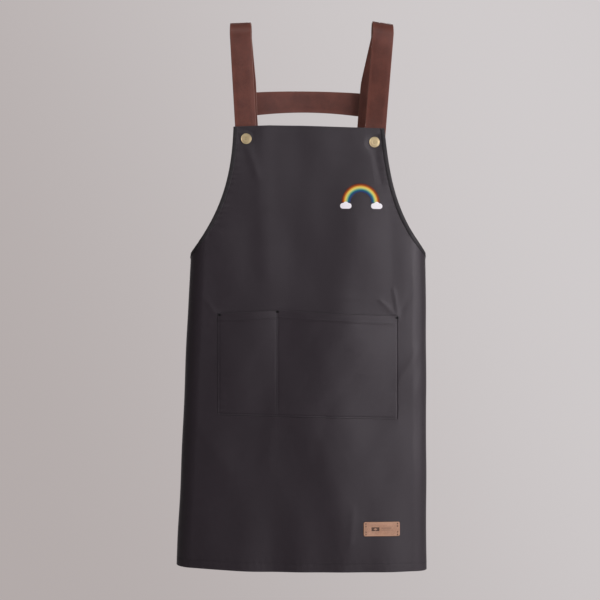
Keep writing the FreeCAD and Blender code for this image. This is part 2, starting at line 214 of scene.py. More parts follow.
def front_armhole(side, count=120):
    """Front armhole edge on the flat cloth, from the bib's corner to the fold: (u, z)."""
    s = np.linspace(0, 1, count)
    z = BIB_TOP_Z + (WAIST_Z - BIB_TOP_Z) * s
    return np.stack([front_u(armhole_x(side, s), z), z], -1)


def rear_armhole(side, count=70):
    """The edge goes on round the fold and along the flap's top: (u, z)."""
    s = np.linspace(0, 1, count) ** 1.5
    start, corner = side_x(side, WAIST_Z), FLAP_EDGE_X[side]
    x = start + (corner - start) * s ** 1.35
    z = WAIST_Z + (FLAP_TOP_Z - WAIST_Z) * (0.55 * np.sin(s * math.pi / 2) + 0.45 * np.sqrt(s))
    u = behind_u(x, z)
    u[0] = SIGN[side] * mid_fold(WAIST_Z)
    return np.stack([u, z], -1)


def armhole_u(side, z):
    """u of the front armhole edge at each height above the waist."""
    s = np.clip((z - BIB_TOP_Z) / (WAIST_Z - BIB_TOP_Z), 0, 1)
    return front_u(armhole_x(side, s), z)


REAR_EDGE = {side: rear_armhole(side) for side in SIDES}


def ridge(u, z, a, b, width, height):
    """Soft fold along the line a-b on the flat cloth, fading at both ends."""
    (u0, z0), (u1, z1) = a, b
    run = math.hypot(u1 - u0, z1 - z0)
    du, dz = (u1 - u0) / run, (z1 - z0) / run
    along = (u - u0) * du + (z - z0) * dz
    across = (u - u0) * dz - (z - z0) * du
    past = np.maximum(0, -along) + np.maximum(0, along - run)
    return height * bell(across, 0, width) * bell(past, 0, 2 * width)


# Each fold: its two ends (u, z), its width, and how far it stands out (negative: goes in).
LONG_FOLDS = (
    ((0.1520, -0.3700), (0.1560, -0.8400), 0.022, 0.0008),
    ((-0.2035, -0.4300), (-0.2130, -0.7800), 0.030, 0.0016),
    ((0.2030, -0.4500), (0.2100, -0.6800), 0.030, 0.0012),
    ((0.128, -0.2755), (0.140, -0.4655), 0.016, -0.0005),
    ((-0.078, -0.1455), (-0.070, -0.3655), 0.017, 0.0008),
    ((-0.020, -0.2055), (-0.030, -0.4255), 0.022, -0.0007),
    ((-0.120, -0.3455), (-0.150, -0.8455), 0.034, 0.0008),
    ((-0.070, -0.6055), (-0.085, -0.8655), 0.030, -0.0007),
)
SHORT_CREASES = (
    ((0.0780, -0.7620), (0.0755, -0.8010), 0.0060, 0.0004),
    ((0.140, -0.4465), (0.119, -0.4265), 0.0040, 0.0004),
    ((0.143, -0.4435), (0.136, -0.4095), 0.0036, 0.0004),
    ((0.146, -0.4455), (0.160, -0.4175), 0.0048, -0.0004),
    ((-0.146, -0.4415), (-0.158, -0.4255), 0.0050, 0.0003),
    ((0.172, -0.5605), (0.120, -0.6455), 0.014, 0.0006),
    ((0.180, -0.6055), (0.130, -0.6955), 0.016, -0.0005),
    ((0.175, -0.5055), (0.150, -0.5455), 0.007, 0.0007),
    ((-0.170, -0.6155), (-0.125, -0.6855), 0.016, 0.0004),
    ((-0.100, -0.1775), (-0.085, -0.2205), 0.007, 0.0005),
    ((0.100, -0.1775), (0.110, -0.2275), 0.006, -0.0005),
    ((-0.050, -0.6075), (-0.056, -0.6655), 0.012, 0.0004),
    ((0.030, -0.6115), (0.020, -0.6605), 0.012, -0.0003),
)
CREST_Z = (-0.860, -0.742, -0.627, -0.414, -0.300, -0.135)
CREST_U = (0.082, 0.072, 0.022, 0.068, 0.082, 0.100)


def crest(u, z):
    """The long fold right of the middle: it swings in at the pocket's foot and out again below."""
    steps = (-0.05, -0.03, -0.01, 0.01, 0.03, 0.05)
    line = sum(np.interp(z + dz, CREST_Z, CREST_U) for dz in steps) / len(steps)
    reach = np.where(u < line, 0.050, 0.085)
    height = 0.0012 + 0.0034 * smooth(-z, 0.16, 0.28)
    return height * bell(u, line, reach)


def drape(u, z):
    """How far the hanging cloth stands off its plain shape."""
    d = crest(u, z)
    for fold in LONG_FOLDS + SHORT_CREASES:
        d = d + ridge(u, z, *fold)
    wander = np.sin(31 * u + 17 * z + 0.4) * np.sin(23 * z - 11 * u + 1.7)
    ripple = np.sin(74 * u + 9 * z + 2.0) * np.sin(29 * z + 12 * u)
    d = d + 0.0005 * wander + 0.0002 * ripple
    foot = np.clip(z - HEM_Z, 0, 1)
    wave = np.sin(2 * math.pi * u / 0.121 + 0.9) + 0.6 * np.sin(2 * math.pi * u / 0.073 + 2.3)
    d = d + (0.0010 + 0.0013 * wave) * np.exp(-foot / 0.085)
    pucker = np.sin(2 * math.pi * u / 0.0125 + 1.8 * np.sin(2 * math.pi * u / 0.068) + 90 * foot)
    d = d + 0.00005 * pucker * bell(foot, HEM_DEPTH, 0.009)
    d = d - 0.00010 * bell(foot, HEM_DEPTH, 0.0012)                  # the hem's sewn line
    for side in SIDES:
        out = SIGN[side] * u
        inside = np.maximum(0, SIGN[side] * armhole_u(side, z) - out)
        gather = np.sin(2 * math.pi * z / 0.0105 + 2.2 * np.sin(2 * math.pi * z / 0.057) + 60 * inside)
        span = smooth(z, WAIST_Z - 0.004, WAIST_Z + 0.02)
        d = d + 0.00022 * gather * bell(inside, 0, 0.011) * span
        edge_u, edge_z = REAR_EDGE[side].T
        top = np.interp(out, np.abs(edge_u), edge_z, left=1.0, right=1.0)
        under = np.maximum(0, top - z)
        pull = np.sin(2 * math.pi * u / 0.0115 + 2.0 * np.sin(2 * math.pi * u / 0.06))
        d = d + 0.00030 * pull * bell(under, 0, 0.011) * (top < 0)
        for x, h in (BIB_SNAP[side], WAIST_SNAP[side]):
            place = x - centre_x(h) if h > WAIST_Z else float(behind_u(np.array(x), np.array(h)))
            far = np.sqrt((u - place) ** 2 + (z - h) ** 2)
            d = d * (1 - bell(far, 0, SNAP_FLAT_R)) - 0.00025 * bell(far, 0.011, 0.003)
    return d


def draped(u, z):
    return hung(u, z) + facing(hung, u, z) * drape(u, z)[..., None]


def on_cloth(u, z, off=0.0):
    """Places off metres above the draped cloth's outer face."""
    u, z = np.asarray(u, float), np.asarray(z, float)
    return draped(u, z) + facing(draped, u, z) * (np.asarray(off, float) + 0 * u)[..., None]


# ---------------------------------------------------------------- meshes
def new_object(name, data):
    thing = bpy.data.objects.new(name, data)
    bpy.context.scene.collection.objects.link(thing)
    return thing


def triples(rows):
    return [tuple(map(float, row)) for row in rows]


def new_piece(name, points, faces, uv, values=(), normals=None, material=None):
    """One mesh piece; uv is per vertex, values is a list of (attribute name, per-vertex number)."""
    mesh = bpy.data.meshes.new(name)
    mesh.from_pydata(triples(points), [], faces)
    mesh.validate()
    corner = np.empty(len(mesh.loops), np.int32)
    mesh.loops.foreach_get("vertex_index", corner)
    layer = mesh.uv_layers.new(name="UVMap")
    layer.data.foreach_set("uv", np.asarray(uv, np.float32)[corner].ravel())
    for label, numbers in values:
        attribute = mesh.attributes.new(label, "FLOAT", "POINT")
        attribute.data.foreach_set("value", np.asarray(numbers, np.float32))
    mesh.polygons.foreach_set("use_smooth", np.ones(len(mesh.polygons), bool))
    if normals is not None:
        mesh.normals_split_custom_set_from_vertices(triples(normals))
    mesh.materials.append(material)
    return new_object(name, mesh)


def ring_index(rows, cols):
    """Grid places round a rows x cols patch, in order, so that faces made from them look outwards."""
    top = [(0, j) for j in range(cols)]
    right = [(i, cols - 1) for i in range(1, rows)]
    foot = [(rows - 1, j) for j in range(cols - 2, -1, -1)]
    left = [(i, 0) for i in range(rows - 2, 0, -1)]
    return top + right + foot + left


def layer_data(u, z, top, foot):
    """Closed layer on the cloth between two heights. Rows run down and columns run towards +u."""
    rows, cols = u.shape
    normal = facing(draped, u, z)
    skin = draped(u, z)
    high, low = (skin + normal * (np.asarray(off) + 0 * u)[..., None] for off in (top, foot))
    high_n = normal
    if np.ndim(top) > 0:
        high_n = unit(np.cross(np.gradient(high, axis=0), np.gradient(high, axis=1)))
    ring = ring_index(rows, cols)
    ri, rj = np.array(ring).T
    mid = (high[ri, rj] + low[ri, rj]) / 2
    out = -np.cross(np.roll(mid, -1, 0) - np.roll(mid, 1, 0), normal[ri, rj])
    out = out / np.maximum(np.linalg.norm(out, axis=-1, keepdims=True), 1e-9)
    mid = mid + out * EDGE_ROUND * np.linalg.norm(high[ri, rj] - low[ri, rj], axis=-1, keepdims=True)
    points = np.concatenate([high.reshape(-1, 3), low.reshape(-1, 3), mid])
    normals = np.concatenate([high_n.reshape(-1, 3), -normal.reshape(-1, 3), out])
    uv = np.stack([u, z], -1)
    uvs = np.concatenate([uv.reshape(-1, 2), uv.reshape(-1, 2), uv[ri, rj]])
    count = rows * cols
    grid = np.arange(count).reshape(rows, cols)
    quads = np.stack([grid[:-1, :-1], grid[1:, :-1], grid[1:, 1:], grid[:-1, 1:]], -1).reshape(-1, 4)
    faces = quads.tolist() + (quads[:, ::-1] + count).tolist()
    edge = (ri * cols + rj).tolist()
    for k in range(len(ring)):
        m = (k + 1) % len(ring)
        faces.append([edge[k], edge[m], 2 * count + m, 2 * count + k])
        faces.append([2 * count + k, 2 * count + m, edge[m] + count, edge[k] + count])
    return points, faces, uvs, normals


def joined(parts):
    """Several (points, faces, uvs, normals) as one."""
    points, faces, uvs, normals = zip(*parts)
    bases = np.cumsum([0] + [len(p) for p in points]).tolist()
    moved = [[v + base for v in face] for base, each in zip(bases, faces) for face in each]
    return np.concatenate(points), moved, np.concatenate(uvs), np.concatenate(normals)


def band_faces(rings, count):
    """Faces between rings of count points each."""
    return [[i * count + j, i * count + k, (i + 1) * count + k, (i + 1) * count + j]
            for i in range(rings - 1) for j, k in zip(range(count), [*range(1, count), 0])]


def outwards(piece):
    """Makes every face of a closed mesh look outwards."""
    work = bmesh.new()
    work.from_mesh(piece.data)
    bmesh.ops.recalc_face_normals(work, faces=work.faces)
    work.to_mesh(piece.data)
    work.free()
    return piece


def tube_piece(name, points, uv, values, material):
    """Closed piece from equal rings of points, shape (rings, points in a ring, 3)."""
    n, m = points.shape[:2]
    ends = [list(range(m))[::-1], [(n - 1) * m + j for j in range(m)]]
    return outwards(new_piece(name, points.reshape(-1, 3), band_faces(n, m) + ends, uv.reshape(-1, 2),
                              values, material=material))


# ---------------------------------------------------------------- node helpers
class Nodes:
    """Short way to add and join the nodes of one tree."""

    def __init__(self, tree):
        self.tree = tree

    def add(self, kind, inputs=None, **settings):
        node = self.tree.nodes.new(kind)
        for key, value in settings.items():
            setattr(node, key, value)
        for key, value in (inputs or {}).items():
            if isinstance(value, bpy.types.NodeSocket):
                self.tree.links.new(value, node.inputs[key])
            else:
                node.inputs[key].default_value = value
        return node

    def join(self, a, b):
        self.tree.links.new(a, b)

    def math(self, operation, a, b=0.0, clamp=False):
        return self.add("ShaderNodeMath", {0: a, 1: b}, operation=operation, use_clamp=clamp).outputs[0]

    def plus(self, a, b, clamp=False):
        return self.math("ADD", a, b, clamp)

    def times(self, a, b):
        return self.math("MULTIPLY", a, b)

    def mix(self, factor, a, b):
        return self.add("ShaderNodeMix", {0: factor, 6: a, 7: b}, data_type="RGBA").outputs[2]

    def spread(self, value, low, high):
        """0 at low, 1 at high, eased between them."""
        return self.add("ShaderNodeMapRange", {"Value": value, "From Min": low, "From Max": high},
                        interpolation_type="SMOOTHSTEP").outputs["Result"]

    def group(self, tree, **values):
        return self.add("ShaderNodeGroup", values, node_tree=tree).outputs

    def object_place(self):
        return self.add("ShaderNodeTexCoord").outputs["Object"]

    def own_uv(self):
        return self.add("ShaderNodeUVMap", uv_map="UVMap").outputs["UV"]

    def value_of(self, label):
        return self.add("ShaderNodeAttribute", attribute_name=label).outputs["Fac"]

    def noise(self, place, scale, detail=3.0, rough=0.5):
        node = self.add("ShaderNodeTexNoise", {"Vector": place, "Scale": scale, "Detail": detail,
                                               "Roughness": rough})
        return node.outputs["Fac"]


def new_group(name, ins, outs):
    """Shader node group with named sockets; returns its node helper, inputs and outputs."""
    tree = bpy.data.node_groups.new(name, "ShaderNodeTree")
    for label, kind, value in ins:
        socket = tree.interface.new_socket(label, in_out="INPUT", socket_type=kind)
        if value is not None:
            socket.default_value = value
    for label, kind in outs:
        tree.interface.new_socket(label, in_out="OUTPUT", socket_type=kind)
    nodes = Nodes(tree)
    return nodes, nodes.add("NodeGroupInput").outputs, nodes.add("NodeGroupOutput").inputs


FLOAT, VECTOR = "NodeSocketFloat", "NodeSocketVector"


def weave_group():
    """Plain weave: threads over and under each other, with slubs."""
    n, i, o = new_group("Plain weave", [("Place", VECTOR, None), ("Thread", FLOAT, 0.0007),
                                        ("Slub", FLOAT, 0.3)], [("Height", FLOAT), ("Gap", FLOAT)])
    part = n.add("ShaderNodeSeparateXYZ", {0: i["Place"]}).outputs
    turn = n.math("DIVIDE", 2 * math.pi, i["Thread"])
    across, along = n.times(part["X"], turn), n.times(part["Y"], turn)
    warp, weft = n.math("SINE", across), n.math("SINE", along)
    over = n.times(n.math("SINE", n.times(across, 0.5)),
                  n.math("SINE", n.times(along, 0.5)))
    height = n.plus(n.math("MAXIMUM", warp, weft), n.times(over, 0.8))
    slub = n.noise(n.add("ShaderNodeMapping", {"Vector": i["Place"], "Scale": (900, 60, 1)}).outputs[0], 1.0)
    height = n.plus(height, n.times(slub, i["Slub"]))
    n.join(height, o["Height"])
    n.join(n.spread(height, 0.9, 0.1), o["Gap"])
    return n.tree


def grain_group():
    """Leather grain: small pebbles with soft creases between them, and slow colour change."""
    n, i, o = new_group("Leather grain", [("Place", VECTOR, None), ("Pebble", FLOAT, 900.0),
                                          ("Crease", FLOAT, 0.35)],
                        [("Height", FLOAT), ("Mottle", FLOAT), ("Pore", FLOAT)])
    warp = n.noise(i["Place"], 220.0, 2.0)
    place = n.add("ShaderNodeVectorMath", {0: i["Place"], 1: n.add(
        "ShaderNodeVectorMath", {0: warp, "Scale": 0.0011}, operation="SCALE").outputs[0]},
        operation="ADD").outputs[0]
    cell = n.add("ShaderNodeTexVoronoi", {"Vector": place, "Scale": i["Pebble"], "Randomness": 0.9},
                 feature="DISTANCE_TO_EDGE").outputs["Distance"]
    pebble = n.spread(cell, 0.0, 0.28)
    crease = n.spread(n.noise(i["Place"], 95.0, 5.0, 0.62), 0.42, 0.60)
    height = n.math("SUBTRACT", pebble, n.times(crease, i["Crease"]))
    n.join(height, o["Height"])
    n.join(n.spread(n.noise(i["Place"], 34.0, 4.0, 0.6), 0.3, 0.7), o["Mottle"])
    n.join(n.math("SUBTRACT", 1.0, pebble), o["Pore"])
    return n.tree


def rub_group():
    """Rubbing and dust: patches that break up an even finish, stronger where Edge is high."""
    n, i, o = new_group("Rubbed patches", [("Place", VECTOR, None), ("Size", FLOAT, 40.0),
                                           ("Edge", FLOAT, 0.0), ("Amount", FLOAT, 0.5)],
                        [("Mask", FLOAT), ("Fine", FLOAT)])
    broad = n.noise(i["Place"], i["Size"], 5.0, 0.6)
    fine = n.noise(i["Place"], n.times(i["Size"], 14.0), 3.0, 0.6)
    worn = n.plus(n.times(broad, 0.7), n.times(fine, 0.3))
    worn = n.plus(worn, n.times(i["Edge"], 0.45))
    n.join(n.times(n.spread(worn, 0.42, 0.72), i["Amount"]), o["Mask"])
    n.join(fine, o["Fine"])
    return n.tree


WEAVE, GRAIN, RUB = weave_group(), grain_group(), rub_group()


def new_material(name, **constants):
    """Material with one Principled shader; constants are set on its own sockets."""
    material = bpy.data.materials.new(name)
    material.use_nodes = True
    shader = material.node_tree.nodes["Principled BSDF"]
    for key, value in constants.items():
        shader.inputs[key.replace("_", " ")].default_value = value
    return material, Nodes(material.node_tree), shader


def finish_surface(n, shader, colour, rough, height, lift, strength=1.0):
    """Joins colour, roughness and a bump of lift metres to the shader."""
    n.join(colour, shader.inputs["Base Color"])
    n.join(rough, shader.inputs["Roughness"])
    bump = n.add("ShaderNodeBump", {"Height": height, "Distance": lift, "Strength": strength})
    n.join(bump.outputs[0], shader.inputs["Normal"])


def rgba(colour, share=1.0):
    return (*(share * c for c in colour), 1.0)


def cloth_material(name, dark, light, rough, thread=0.0006, lift=0.00006):
    """Coated cotton: fine weave softened by the coating, with painted shade in the weave's gaps and slow
    changes of tone.
    """
    material, n, shader = new_material(name, Specular_IOR_Level=0.5, Coat_Weight=0.10, Coat_Roughness=0.32,
                                       Sheen_Weight=0.04, Sheen_Roughness=0.5)
    place, uv = n.object_place(), n.own_uv()
    weave = n.group(WEAVE, Place=uv, Thread=thread, Slub=0.4)
    rub = n.group(RUB, Place=place, Size=9.0, Amount=0.8)
    tone = n.mix(rub["Mask"], rgba(dark), rgba(light))
    # painted shade: the weave's gaps are darkened
    tone = n.mix(n.times(weave["Gap"], 0.30), tone, rgba(dark, 0.55))
    level = n.plus(n.times(rub["Fine"], 0.10), rough - 0.05)
    soft = n.times(n.noise(place, 70.0, 4.0, 0.55), 2.2)
    finish_surface(n, shader, tone, level, n.plus(weave["Height"], soft), lift, 0.55)
    return material


def leather_material(name, deep, warm, edge, rough, pebble, lift):
    """Finished leather with grain, mottling, painted shade in the grain's creases, rubbed patches and a paler
    cut edge.
    """
    material, n, shader = new_material(name, Specular_IOR_Level=0.34, Coat_Weight=0.05, Coat_Roughness=0.26)
    place = n.object_place()
    grain = n.group(GRAIN, Place=place, Pebble=pebble, Crease=0.5)
    cut, rim = n.value_of("cut"), n.value_of("rim")
    rub = n.group(RUB, Place=place, Size=55.0, Edge=rim, Amount=0.55)
    tone = n.mix(grain["Mottle"], rgba(deep), rgba(warm))
    # painted shade: the creases between the grain's pebbles are darkened
    tone = n.mix(n.times(grain["Pore"], 0.45), tone, rgba(deep, 0.45))
    tone = n.mix(n.times(rub["Mask"], 0.5), tone, rgba(warm, 1.35))
    tone = n.mix(n.times(cut, 0.75), tone, rgba(edge))
    level = n.plus(n.times(rub["Mask"], 0.12), n.times(grain["Pore"], 0.10))
    level = n.plus(level, rough)
    pressed = n.times(n.value_of("pressed"), -3.0)
    finish_surface(n, shader, tone, level, n.plus(grain["Height"], pressed), lift, 0.75)
    return material, n, shader


def metal_material(name, bright, tarnish_and_shade, satin, tarnish_and_shade_by="tarnish_and_shade"):
    """Brass that darkens where an attribute says: tarnish in a snap cap's grooves, painted shade round its
    rim's foot and underside; it also shows fine handling marks.
    """
    material, n, shader = new_material(name, Metallic=1.0)
    place = n.object_place()
    rub = n.group(RUB, Place=place, Size=160.0, Amount=0.7)
    # darkening from the attribute (tarnish, and painted shade on a snap cap) plus rubbed handling marks
    darkened = n.plus(n.value_of(tarnish_and_shade_by), n.times(rub["Mask"], 0.22), True)
    tone = n.mix(darkened, rgba(bright), rgba(tarnish_and_shade))
    level = n.plus(n.times(darkened, 0.20), satin)
    finish_surface(n, shader, tone, level, rub["Fine"], 0.00003, 0.5)
    return material


def thread_material(name, dark, light):
    """Twisted sewing thread."""
    material, n, shader = new_material(name, Specular_IOR_Level=0.2)
    place = n.object_place()
    rub = n.group(RUB, Place=place, Size=220.0, Amount=1.0)
    ply = n.add("ShaderNodeTexWave", {"Vector": place, "Scale": 900.0, "Distortion": 2.0, "Detail": 1.0})
    tone = n.mix(rub["Mask"], rgba(dark), rgba(light))
    level = n.plus(n.times(rub["Fine"], 0.15), 0.55)
    finish_surface(n, shader, tone, level, ply.outputs["Fac"], 0.00004, 0.6)
    return material


def print_material(name, inner, outer):
    """Heat-pressed film: one ink running into the next across the band, with the weave showing through."""
    material, n, shader = new_material(name, Specular_IOR_Level=0.2)
    place, uv = n.object_place(), n.own_uv()
    weave = n.group(WEAVE, Place=uv, Thread=0.0006, Slub=0.3)
    rub = n.group(RUB, Place=place, Size=70.0, Amount=0.5)
    tone = n.mix(n.spread(n.value_of("across"), 0.0, 1.0), rgba(outer), rgba(inner))
    tone = n.mix(n.times(rub["Mask"], 0.12), tone, rgba(inner, 0.6))
    level = n.plus(n.times(rub["Fine"], 0.15), 0.42)
    finish_surface(n, shader, tone, level, weave["Height"], 0.00004, 0.35)
    return material


CLOTH_FINISH = cloth_material("Charcoal coated cloth", (0.0185, 0.0130, 0.0172),
                              (0.0228, 0.0162, 0.0215), 0.38)
TAPE_FINISH = cloth_material("Charcoal binding tape", (0.0095, 0.0078, 0.0090),
                             (0.0140, 0.0115, 0.0132), 0.62, 0.0009, 0.00010)
STRAP_FINISH = leather_material("Red-brown strap leather", (0.108, 0.033, 0.021), (0.155, 0.048, 0.031),
                                (0.30, 0.17, 0.12), 0.33, 1100.0, 0.00008)[0]
BRASS = metal_material("Antique brass", (0.67, 0.56, 0.32), (0.26, 0.19, 0.10), 0.42)
PLAIN_BRASS = metal_material("Plain brass", (0.68, 0.52, 0.27), (0.30, 0.21, 0.10), 0.26, "none")
DARK_THREAD = thread_material("Charcoal thread", (0.012, 0.0095, 0.012), (0.022, 0.018, 0.021))
TACK_THREAD = thread_material("Black thread", (0.003, 0.003, 0.003), (0.007, 0.006, 0.007))
BROWN_THREAD = thread_material("Brown thread", (0.080, 0.040, 0.025), (0.150, 0.080, 0.050))
PRINTS = {
    "red": print_material("Red print", (0.40, 0.10, 0.016), (0.12, 0.014, 0.006)),
    "gold": print_material("Gold print", (0.80, 0.72, 0.16), (0.72, 0.30, 0.03)),
    "green": print_material("Green print", (0.030, 0.26, 0.25), (0.52, 0.64, 0.20)),
    "blue": print_material("Blue print", (0.030, 0.040, 0.140), (0.004, 0.105, 0.190)),
    "white": print_material("White print", (0.96, 0.96, 0.97), (0.97, 0.97, 0.98)),
}


def patch_material():
    """Tan veg leather with a scorched mark: a frame, a lozenge and plain bars."""
    material, n, shader = leather_material("Tan patch leather", (0.47, 0.265, 0.165), (0.60, 0.365, 0.240),
                                           (0.30, 0.16, 0.09), 0.50, 1500.0, 0.00008)
    old = shader.inputs["Base Color"].links[0].from_socket
    burn = n.value_of("burn")
    ragged = n.plus(burn, n.times(n.noise(n.object_place(), 1400.0, 3.0), 0.35))
    mark = n.spread(ragged, 0.55, 0.85)
    n.join(n.mix(n.times(mark, 0.88), old, rgba((0.050, 0.028, 0.020))),
                     shader.inputs["Base Color"])
    return material


PATCH_FINISH = patch_material()


# ---------------------------------------------------------------- rows of stitches
def stitch_tree():
    """Runs of thread: one small bead of thread every Pitch along the given lines."""
    tree = bpy.data.node_groups.new("Stitched line", "GeometryNodeTree")
    for label, way, kind in (("Geometry", "INPUT", "NodeSocketGeometry"), ("Pitch", "INPUT", FLOAT),
                             ("Stitch Length", "INPUT", FLOAT), ("Thread Width", "INPUT", FLOAT),
                             ("Turn", "INPUT", FLOAT), ("Thread", "INPUT", "NodeSocketMaterial"),
                             ("Geometry", "OUTPUT", "NodeSocketGeometry")):
        tree.interface.new_socket(label, in_out=way, socket_type=kind)
    n = Nodes(tree)
    i, o = n.add("NodeGroupInput").outputs, n.add("NodeGroupOutput").inputs
    line = n.add("GeometryNodeMeshToCurve", {"Mesh": i["Geometry"]}).outputs[0]
    line = n.add("GeometryNodeResampleCurve", {"Curve": line, "Length": i["Pitch"]}, mode="LENGTH").outputs[0]
    face = n.add("GeometryNodeInputNamedAttribute", {"Name": "face"}, data_type="FLOAT_VECTOR").outputs[0]
    upright = n.add("FunctionNodeAlignRotationToVector", {"Vector": face}, axis="Z").outputs[0]
    tangent = n.add("GeometryNodeInputTangent").outputs[0]
    turned = n.add("FunctionNodeAlignRotationToVector", {"Rotation": upright, "Vector": tangent}, axis="X",
                   pivot_axis="Z").outputs[0]
    spin = n.add("FunctionNodeEulerToRotation", {0: n.add("ShaderNodeCombineXYZ", {"Z": i["Turn"]}).outputs[0]})
    turned = n.add("FunctionNodeRotateRotation", {"Rotation": turned, "Rotate By": spin.outputs[0]},
                   rotation_space="LOCAL").outputs[0]
    bead = n.add("GeometryNodeMeshUVSphere", {"Segments": 8, "Rings": 5, "Radius": 0.5}).outputs[0]
    size = n.add("ShaderNodeCombineXYZ", {"X": i["Stitch Length"], "Y": i["Thread Width"],
                                          "Z": i["Thread Width"]}).outputs[0]
    spots = n.add("GeometryNodeInstanceOnPoints", {"Points": line, "Instance": bead, "Rotation": turned,
                                                   "Scale": size}).outputs[0]
    solid = n.add("GeometryNodeRealizeInstances", {"Geometry": spots}).outputs[0]
    solid = n.add("GeometryNodeSetShadeSmooth", {"Geometry": solid}).outputs[0]
    solid = n.add("GeometryNodeSetMaterial", {"Geometry": solid, "Material": i["Thread"]}).outputs[0]
    n.join(solid, o["Geometry"])
    return tree


STITCHES = stitch_tree()


def stitched(name, lines, thread, pitch=0.0034, length=0.0027, width=0.0006, turn=0.0):
    """Stitches along lines; each line is (points, facing directions)."""
    points, edges = [], []
    for line, _ in lines:
        edges += [(len(points) + k, len(points) + k + 1) for k in range(len(line) - 1)]
        points += triples(line)
    mesh = bpy.data.meshes.new(name + "_lines")
    mesh.from_pydata(points, edges, [])
    facings = np.concatenate([np.asarray(face, np.float32) for _, face in lines])
    mesh.attributes.new("face", "FLOAT_VECTOR", "POINT").data.foreach_set("vector", facings.ravel())
    maker = new_object(name + "_maker", mesh)
    modifier = maker.modifiers.new("stitches", "NODES")
    modifier.node_group = STITCHES
    given = {"Pitch": pitch, "Stitch Length": length, "Thread Width": width, "Turn": turn, "Thread": thread}
    for item in STITCHES.interface.items_tree:
        if item.in_out == "INPUT" and item.name in given:
            modifier[item.identifier] = given[item.name]
    seen = maker.evaluated_get(bpy.context.evaluated_depsgraph_get())
    done = bpy.data.meshes.new_from_object(seen)
    done.name = name
    bpy.data.objects.remove(maker)
    bpy.data.meshes.remove(mesh)
    done.materials.clear()
    done.materials.append(thread)
    return new_object(name, done)


def cloth_line(u, z, off):
    """A line on the cloth, off metres above it, with its facing directions."""
    u, z = np.broadcast_arrays(np.asarray(u, float), np.asarray(z, float))
    face = facing(draped, u, z)
    return draped(u, z) + face * off, face


# ---------------------------------------------------------------- apron front and side flaps
ARMHOLE_ROWS = np.linspace(BIB_TOP_Z, WAIST_Z, 81)
SKIRT_ROWS = np.concatenate([np.linspace(WAIST_Z, -0.800, 84)[1:], np.linspace(-0.800, HEM_Z, 23)[1:]])


def front_grid(cols=151):
    z = np.concatenate([ARMHOLE_ROWS, SKIRT_ROWS])
    left = np.where(z > WAIST_Z, armhole_u("left", z), -mid_fold(z))
    right = np.where(z > WAIST_Z, armhole_u("right", z), mid_fold(z))
    t = np.linspace(0, 1, cols)
    u = left[:, None] * (1 - t) + right[:, None] * t
    return u, z[:, None] + 0 * u


def flap_grid(side):
    """Rows follow the front's rows at the fold and the armhole edge at the top."""
    edge = REAR_EDGE[side]
    z0 = np.concatenate([[WAIST_Z], SKIRT_ROWS])
    down = (z0 - WAIST_Z) / (HEM_Z - WAIST_Z)
    far = flap_edge(side, edge[:, 1])
    near = mid_fold(edge[:, 1])
    share = np.clip((np.abs(edge[:, 0]) - near) / (far - near), 0, 1)
    share[0], share[-1] = 0, 1
    share = np.maximum.accumulate(share)
    z = edge[None, :, 1] + down[:, None] * (HEM_Z - edge[None, :, 1])
    u = SIGN[side] * (mid_fold(z) + share * (flap_edge(side, z) - mid_fold(z)))
    if side == "left":
        u, z = u[:, ::-1], z[:, ::-1]
    return u, z


def flat_area(u, z):
    """Area of a grid on the flat cloth."""
    ax, az = u[1:, 1:] - u[:-1, :-1], z[1:, 1:] - z[:-1, :-1]
    bx, bz = u[1:, :-1] - u[:-1, 1:], z[1:, :-1] - z[:-1, 1:]
    return float(np.abs(ax * bz - az * bx).sum() / 2)


def turn_up(u):
    """The hem's second layer, folded up inside the cloth, under columns u."""
    rows = np.linspace(HEM_Z + HEM_DEPTH + 0.002, HEM_Z + 0.0006, 5)
    uu = np.repeat(u[None, ::2], len(rows), 0)
    zz = np.repeat(rows[:, None], uu.shape[1], 1)
    return layer_data(uu, zz, -CLOTH - HAIR, -CLOTH - TURNED_DEEP)


def free_hem(side):
    """The second layer along a flap's free edge."""
    z = np.linspace(FLAP_TOP_Z - 0.003, HEM_Z + 0.002, 90)
    t = np.linspace(0.0006, SIDE_HEM, 4)
    u = SIGN[side] * (flap_edge(side, z)[:, None] - t[None, :])
    if side == "right":
        u = u[:, ::-1]
    return layer_data(u, z[:, None] + 0 * u, -CLOTH - HAIR, -CLOTH - SIDE_TURNED_DEEP)


def layer_piece(name, data, material, values=()):
    points, faces, uvs, normals = data
    return new_piece(name, points, faces, uvs, values, normals, material)


def stands_for(piece, nodes):
    if nodes:
        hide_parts(*nodes)
    return piece


def ride(piece, body, slot_name, *nodes):
    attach(piece, body)
    return stands_for(piece, nodes)


def on_flap(piece, side, slot_name, *nodes):
    """Bakes the flap's placement and hides the parts it stands for; the line where the cloth behind becomes
    flat is worked out but not used.
    """
    x0 = side_x(side, WAIST_Z) - SIGN[side] * FOLD_R
    x1 = side_x(side, HEM_Z) - SIGN[side] * FOLD_R
    down = Vector((x1 - x0, 0, HEM_Z - WAIST_Z)).normalized()
    inwards = Vector((0, 1, 0)).cross(down) * SIGN[side]
    if inwards.x * SIGN[side] > 0:
        inwards = -inwards
    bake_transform(piece)
    return stands_for(piece, nodes)


def on_strap(piece, joint_body, start, end, *nodes):
    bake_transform(piece)
    return stands_for(piece, nodes)


